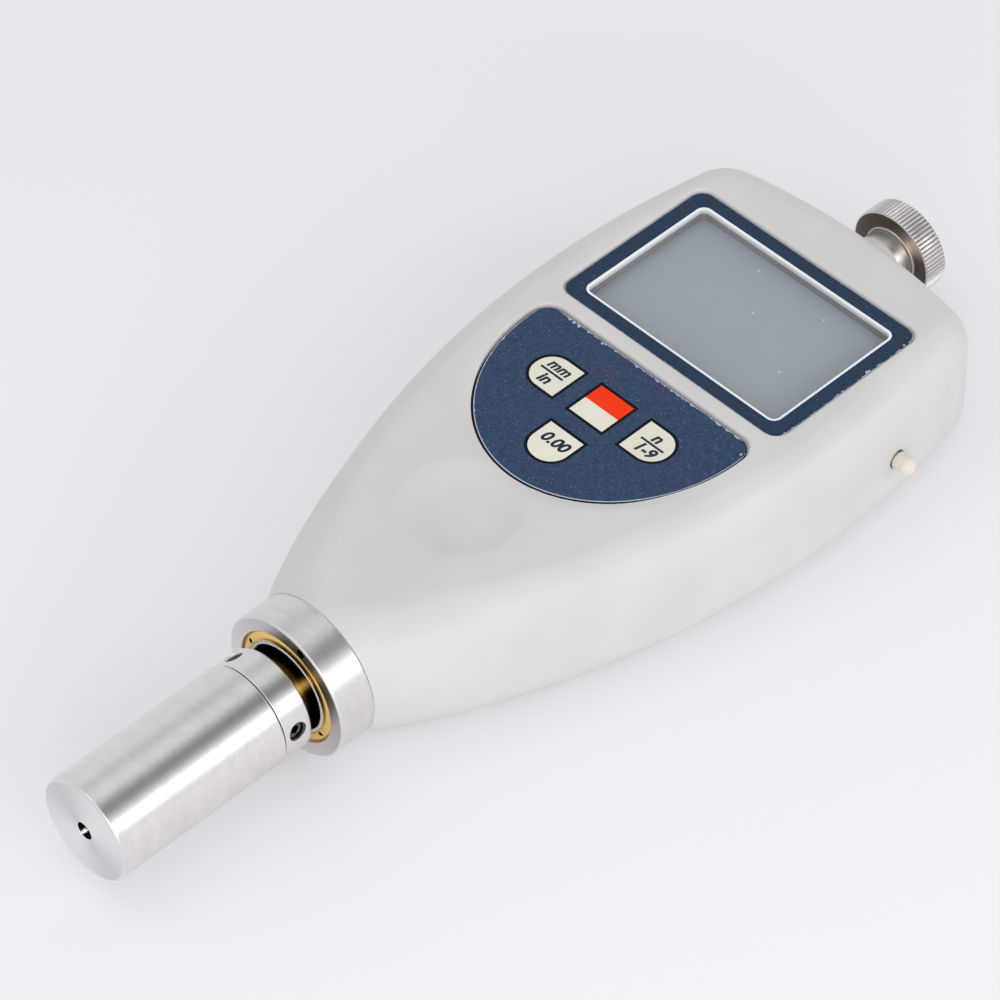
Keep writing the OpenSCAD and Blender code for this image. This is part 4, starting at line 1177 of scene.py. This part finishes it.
def brass_ring():
    """The brass ring in the flange, with a rounded front and two small spanner holes."""
    y1 = FLANGE_Y + BRASS_T
    bead = [(BRASS_IN_R + r, FLANGE_Y + y) for r, y in BRASS_BEAD]
    bm = turned(bead + [(BRASS_R, y1), (BRASS_IN_R, y1)], steps=192)
    holes = [on_ring(BRASS_HOLE_RING, turn) for turn in BRASS_HOLE_TURNS]
    cutters = [drill(BRASS_HOLE_R, (x, FLANGE_Y + BRASS_HOLE_DEPTH, z), (x, FLANGE_Y - PAST, z), 24)
               for x, z in holes]
    placed(combined(bm, cutters), "brass_ring", "case", [BRASS], ["retaining_ring"])


def liner():
    """The pale liner inside the brass ring, white at its rim and painted black further in, as shade."""
    y0, in_r = FLANGE_Y + LINER_BACK, BRASS_IN_R - LINER_T
    shade_y = y0 + LINER_SHOWN
    profile = eased([(in_r, y0), (BRASS_IN_R, y0), (BRASS_IN_R, BUSH_FRONT_Y), (in_r, BUSH_FRONT_Y),
                     (in_r, shade_y)], CORNER_CUT)
    bm = turned(profile)
    painted(bm, lambda face, mid: 1 if mid.y > shade_y else 0)
    placed(bm, "liner", "case", [WHITE_LINER, BLACK_AND_SHADE], ["liner_ring"])


def rear_post():
    """The post at the rear, with a bore for the knob's screw."""
    y0, y1 = POST_HEAD_Y, POST_END_Y
    shoulder_y, floor_y = y0 + POST_HEAD_T, y0 + POST_FLOOR_T
    bore = SHANK_R + FIT
    profile = eased([(0, y0), (POST_HEAD_R, y0), (POST_HEAD_R, shoulder_y), (POST_R, shoulder_y),
                     (POST_R, y1 - POST_EASE), (POST_R - POST_EASE, y1), (bore, y1), (bore, floor_y),
                     (0, floor_y)], FINE_CUT, closed=False)
    placed(turned(profile, closed=False), "rear_post", "case", [NICKEL], ["stand_post"])


def knurled_knob():
    """The knob: straight knurl grooves round its rim, painted darker as shade, a plain hub and a screw behind
    it. Its face has painted sheen.
    """
    per_groove = 8
    around = KNURLS * per_groove

    def ring(y, r, depth):
        points = []
        for i in range(around):
            a = 2 * pi * i / around
            dip = max(0.0, cos(KNURLS * a)) ** 2
            points.append(Vector(((r - depth * dip) * cos(a), y, AXIS_Z + (r - depth * dip) * sin(a))))
        return points

    y0, y1 = KNOB_Y, KNOB_END_Y
    steps = [(SHANK_Y, 0, 0), (SHANK_Y, SHANK_R, 0), (y0 - FIT, SHANK_R, 0), (y0, SHANK_R + FIT, 0)]
    steps.append((y0, HUB_R, 0))
    steps += [(y0 + y, HUB_R + out, 0) for y, out in HUB_BEAD]
    steps += [(y0 + y, KNOB_R - under, depth) for y, under, depth in KNOB_RIM]
    steps += [(y1 - y, KNOB_R - under, depth) for y, under, depth in reversed(KNOB_RIM)]
    steps.append((y1, 0, 0))
    bm = lofted([ring(*step) for step in steps])

    def finish(face, mid):
        a = atan2(mid.z - AXIS_Z, mid.x)
        in_groove = abs(face.normal.y) < 0.5 and mid.y > y0 and cos(KNURLS * a) > 0.5
        return 2 if in_groove else 1 if face.normal.y < -0.9 and mid.y > y0 - NEAR else 0

    painted(bm, finish)
    placed(bm, "knurled_knob", "knob", [KNURL, KNOB_FACE_SHEEN, KNURL_GROOVE_SHADE], ["rear_knob"],
           crease=40)


def push_button():
    """The side button: turned about the probe axis, then laid along the case's width."""
    inside = [(0, BUTTON_PIN_IN), (BUTTON_PIN_R, BUTTON_PIN_IN), (BUTTON_PIN_R, BUTTON_DISC_IN),
              (BUTTON_DISC_R, BUTTON_DISC_IN), (BUTTON_DISC_R, BUTTON_DISC_OUT),
              (BUTTON_STEM_R, BUTTON_DISC_OUT), (BUTTON_STEM_R, BUTTON_STEM_OUT)]
    cap = [(BUTTON_R - under, out) for under, out in BUTTON_CAP_FOOT]
    turns = [pi / 2 * i / 10 for i in range(-2, 11)]
    tip = [(BUTTON_R * cos(t), BUTTON_OUT - BUTTON_R * (1 - sin(t))) for t in turns]
    bm = turned(inside + cap + tip, closed=False, steps=64)
    bmesh.ops.translate(bm, vec=(0, 0, -AXIS_Z), verts=bm.verts)
    bmesh.ops.rotate(bm, cent=(0, 0, 0), matrix=Matrix.Rotation(-pi / 2, 3, "Z"), verts=bm.verts)
    bmesh.ops.translate(bm, vec=(half_w(BUTTON_Y), BUTTON_Y, BUTTON_Z), verts=bm.verts)
    placed(bm, "push_button", "button", [CREAM], ["side_button"])


def return_spring(name, node, body, turns, wire_r):
    """A coil spring in the room that its CAD node takes. It keeps no modifier of its own.
    """
    low, high = (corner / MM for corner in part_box(node))
    y0, y1 = low.y + wire_r, high.y - wire_r
    coil_r = (high.x - low.x) / 2 - wire_r
    per_turn, wire_sides = 32, 10
    sections = []
    for i in range(turns * per_turn + 1):
        a = 2 * pi * i / per_turn
        out = Vector((cos(a), 0, -sin(a)))
        middle = Vector((0, y0 + (y1 - y0) * i / (turns * per_turn), AXIS_Z)) + out * coil_r
        sections.append([middle + out * wire_r * cos(t) + Vector((0, wire_r * sin(t), 0))
                         for t in (2 * pi * k / wire_sides for k in range(wire_sides))])
    piece = placed(lofted(sections), name, body, [SPRING], [node])
    for step in list(piece.modifiers):
        piece.modifiers.remove(step)
    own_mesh(piece)


front_cover()
rear_cover()
door_panel()
display_border()
window_pane()
keypad_sheet()
key_pieces()
key_line("unit", -KEY_PITCH - LINE_SHIFT)
key_line("average", KEY_PITCH + LINE_SHIFT)
for printed in KEY_MARKS:
    key_mark(*printed)
measuring_foot()
clamp_collar()
flange()
brass_ring()
liner()
rear_post()
knurled_knob()
push_button()
return_spring("foot_return_spring", "probe_spring", "case",
              6, FOOT_SPRING_WIRE_R)
return_spring("stylus_return_spring", "stylus_spring", "probe",
              8, STYLUS_SPRING_WIRE_R)

# CAD nodes that keep their own shape
NODE_FINISHES = {
    "lcd_glass": DISPLAY, "lcd_frame": GREY, "lcd_connectors": ELASTIC,
    "battery_cells": SLEEVE, "contact_springs": SPRING, "contact_plates": SPRING,
    "unit_plunger": BLACK_AND_SHADE, "power_plunger": BLACK_AND_SHADE, "average_plunger": BLACK_AND_SHADE, "zero_plunger": BLACK_AND_SHADE,
    "key_switches": BLACK_AND_SHADE, "main_board": BOARD, "controller_chip": BLACK_AND_SHADE, "board_screws": SPRING,
    "side_switch": BLACK_AND_SHADE, "flange_nut": STEEL, "guide_bush": BUSH_SHADE, "clamp_screws": DARK_STEEL,
    "probe_stem": STEM_SHADE_AND_GLINT, "stem_stop": STEEL, "spring_seat": BLACK_AND_SHADE, "stylus": STEEL,
    "stylus_guide": BRASS, "sensor_core": FERRITE, "coil_bobbin": CREAM,
    "sensor_coil": COPPER, "stem_plug": CREAM, "case_screws": SPRING,
}
for node, material in NODE_FINISHES.items():
    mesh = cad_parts[node].data
    mesh.materials.clear()
    mesh.materials.append(material)


# Floor, light and camera

FLOOR_HALF, FLOOR_DROP = 3.0, 0.00005
FLOOR_NEAR_WAY, FLOOR_FAR, FLOOR_NEAR = (0.72, -0.69, 0), -0.12, 0.17
DARK_PATCH_WAY = Vector((0.385, 0.4765, 0.79)).normalized()
DARK_PATCH_RIM, DARK_PATCH_CORE = 0.935, 0.995
FAINT_PATCH_WAY = Vector((-0.497, 0.4765, 0.725)).normalized()
FAINT_PATCH_RIM, FAINT_PATCH_CORE, FAINT_PATCH_STRENGTH = 0.96, 0.998, 0.35
WORLD_STRENGTH = 0.86
CAMERA_TARGET = Vector((-0.103, -3.83, 20.11)) * MM
CAMERA_DISTANCE = 785.6 * MM
CAMERA_BACK = Vector((0.49623, -0.47650, 0.72574)).normalized()
CAMERA_ROLL = radians(-0.510)
CAMERA_LENS, CAMERA_SENSOR, CAMERA_REACH = 182.41, 36.0, 20.0


def studio_floor():
    """A white table top, clear from underneath, that glows a little, so that shadows on it stay pale."""
    f = Finish("studio floor", Roughness=0.8, Specular_IOR_Level=0.2, Emission_Strength=0.2)
    slow = f.noise(f.place, 1.2, 1.0)
    tone = f.spread(slow)
    # The glow is painted stronger towards the front: painted light.
    nearer = f.vector("DOT_PRODUCT", f.place, FLOOR_NEAR_WAY, output="Value")
    nearness = f.span(nearer, FLOOR_FAR, FLOOR_NEAR)
    f.feed("Base Color", f.mix(tone, (0.70, 0.695, 0.728, 1), (0.69, 0.685, 0.718, 1)))
    f.feed("Emission Color", f.mix(nearness, (0.80, 0.80, 0.80, 1), (1.16, 1.16, 1.16, 1)))
    underneath = f.add("NewGeometry").outputs["Backfacing"]
    both = f.add("MixShader", {0: underneath, 1: f.shader.outputs[0], 2: f.add("BsdfTransparent").outputs[0]})
    f.tree.links.new(both.outputs[0], f.tree.nodes["Material Output"].inputs["Surface"])
    bm = bmesh.new()
    bmesh.ops.create_grid(bm, x_segments=2, y_segments=2, size=FLOOR_HALF)
    bmesh.ops.translate(bm, vec=(0, 0, -FLOOR_DROP), verts=bm.verts)
    floor = loose(bm, "floor")
    floor.data.materials.append(f.material)


def studio_world():
    """Even pale surroundings with two darker patches, which polished metal picks up as streaks."""
    world = bpy.data.worlds.new("studio")
    world.use_nodes = True
    bpy.context.scene.world = world
    r = Recipe(world.node_tree)
    way = r.add("TexCoord").outputs["Generated"]
    toward_dark = r.vector("DOT_PRODUCT", way, DARK_PATCH_WAY, output="Value")
    toward_faint = r.vector("DOT_PRODUCT", way, FAINT_PATCH_WAY, output="Value")
    faint = r.span(toward_faint, FAINT_PATCH_RIM, FAINT_PATCH_CORE, 0.0, FAINT_PATCH_STRENGTH)
    even = r.mix(faint, (0.93, 0.93, 0.95, 1), (0.1, 0.1, 0.11, 1))
    colour = r.mix(r.span(toward_dark, DARK_PATCH_RIM, DARK_PATCH_CORE), even, (0.06, 0.06, 0.07, 1))
    back = world.node_tree.nodes["Background"]
    world.node_tree.links.new(colour, back.inputs["Color"])
    back.inputs["Strength"].default_value = WORLD_STRENGTH


def soft_lamp(name, way, distance, width, height, power):
    """A soft box that faces the middle of the instrument."""
    data = bpy.data.lights.new(name, "AREA")
    data.shape = "RECTANGLE"
    data.size, data.size_y = width, height
    data.energy = power
    lamp = bpy.data.objects.new(name, data)
    lamp.location = Vector(way).normalized() * distance
    lamp.rotation_euler = Vector(way).to_track_quat("Z", "Y").to_euler()
    bpy.context.scene.collection.objects.link(lamp)


def photo_camera():
    """The camera at the photograph's view: its place along one line of sight, with a slight roll."""
    data = bpy.data.cameras.new("camera")
    data.lens = CAMERA_LENS
    data.sensor_width = CAMERA_SENSOR
    data.clip_end = CAMERA_REACH
    camera = bpy.data.objects.new("camera", data)
    right = (-CAMERA_BACK).cross(Vector((0, 0, 1))).normalized()
    up = CAMERA_BACK.cross(right)
    x = right * cos(CAMERA_ROLL) + up * sin(CAMERA_ROLL)
    y = up * cos(CAMERA_ROLL) - right * sin(CAMERA_ROLL)
    turn = Matrix((x, y, CAMERA_BACK)).transposed().to_4x4()
    camera.matrix_world = Matrix.Translation(CAMERA_TARGET + CAMERA_BACK * CAMERA_DISTANCE) @ turn
    bpy.context.scene.collection.objects.link(camera)
    bpy.context.scene.camera = camera


studio_floor()
studio_world()
soft_lamp("overhead", (-0.2, -0.25, 0.95), distance=1.1, width=0.7, height=0.7, power=0.8)
soft_lamp("right", (0.77, 0.4765, 0.42), distance=1.0, width=0.5, height=0.24, power=1.1)
soft_lamp("front right", (0.75, -0.5, 0.4), distance=1.2, width=1.0, height=0.7, power=4.5)
photo_camera()
bpy.context.scene.view_settings.view_transform = "Standard"
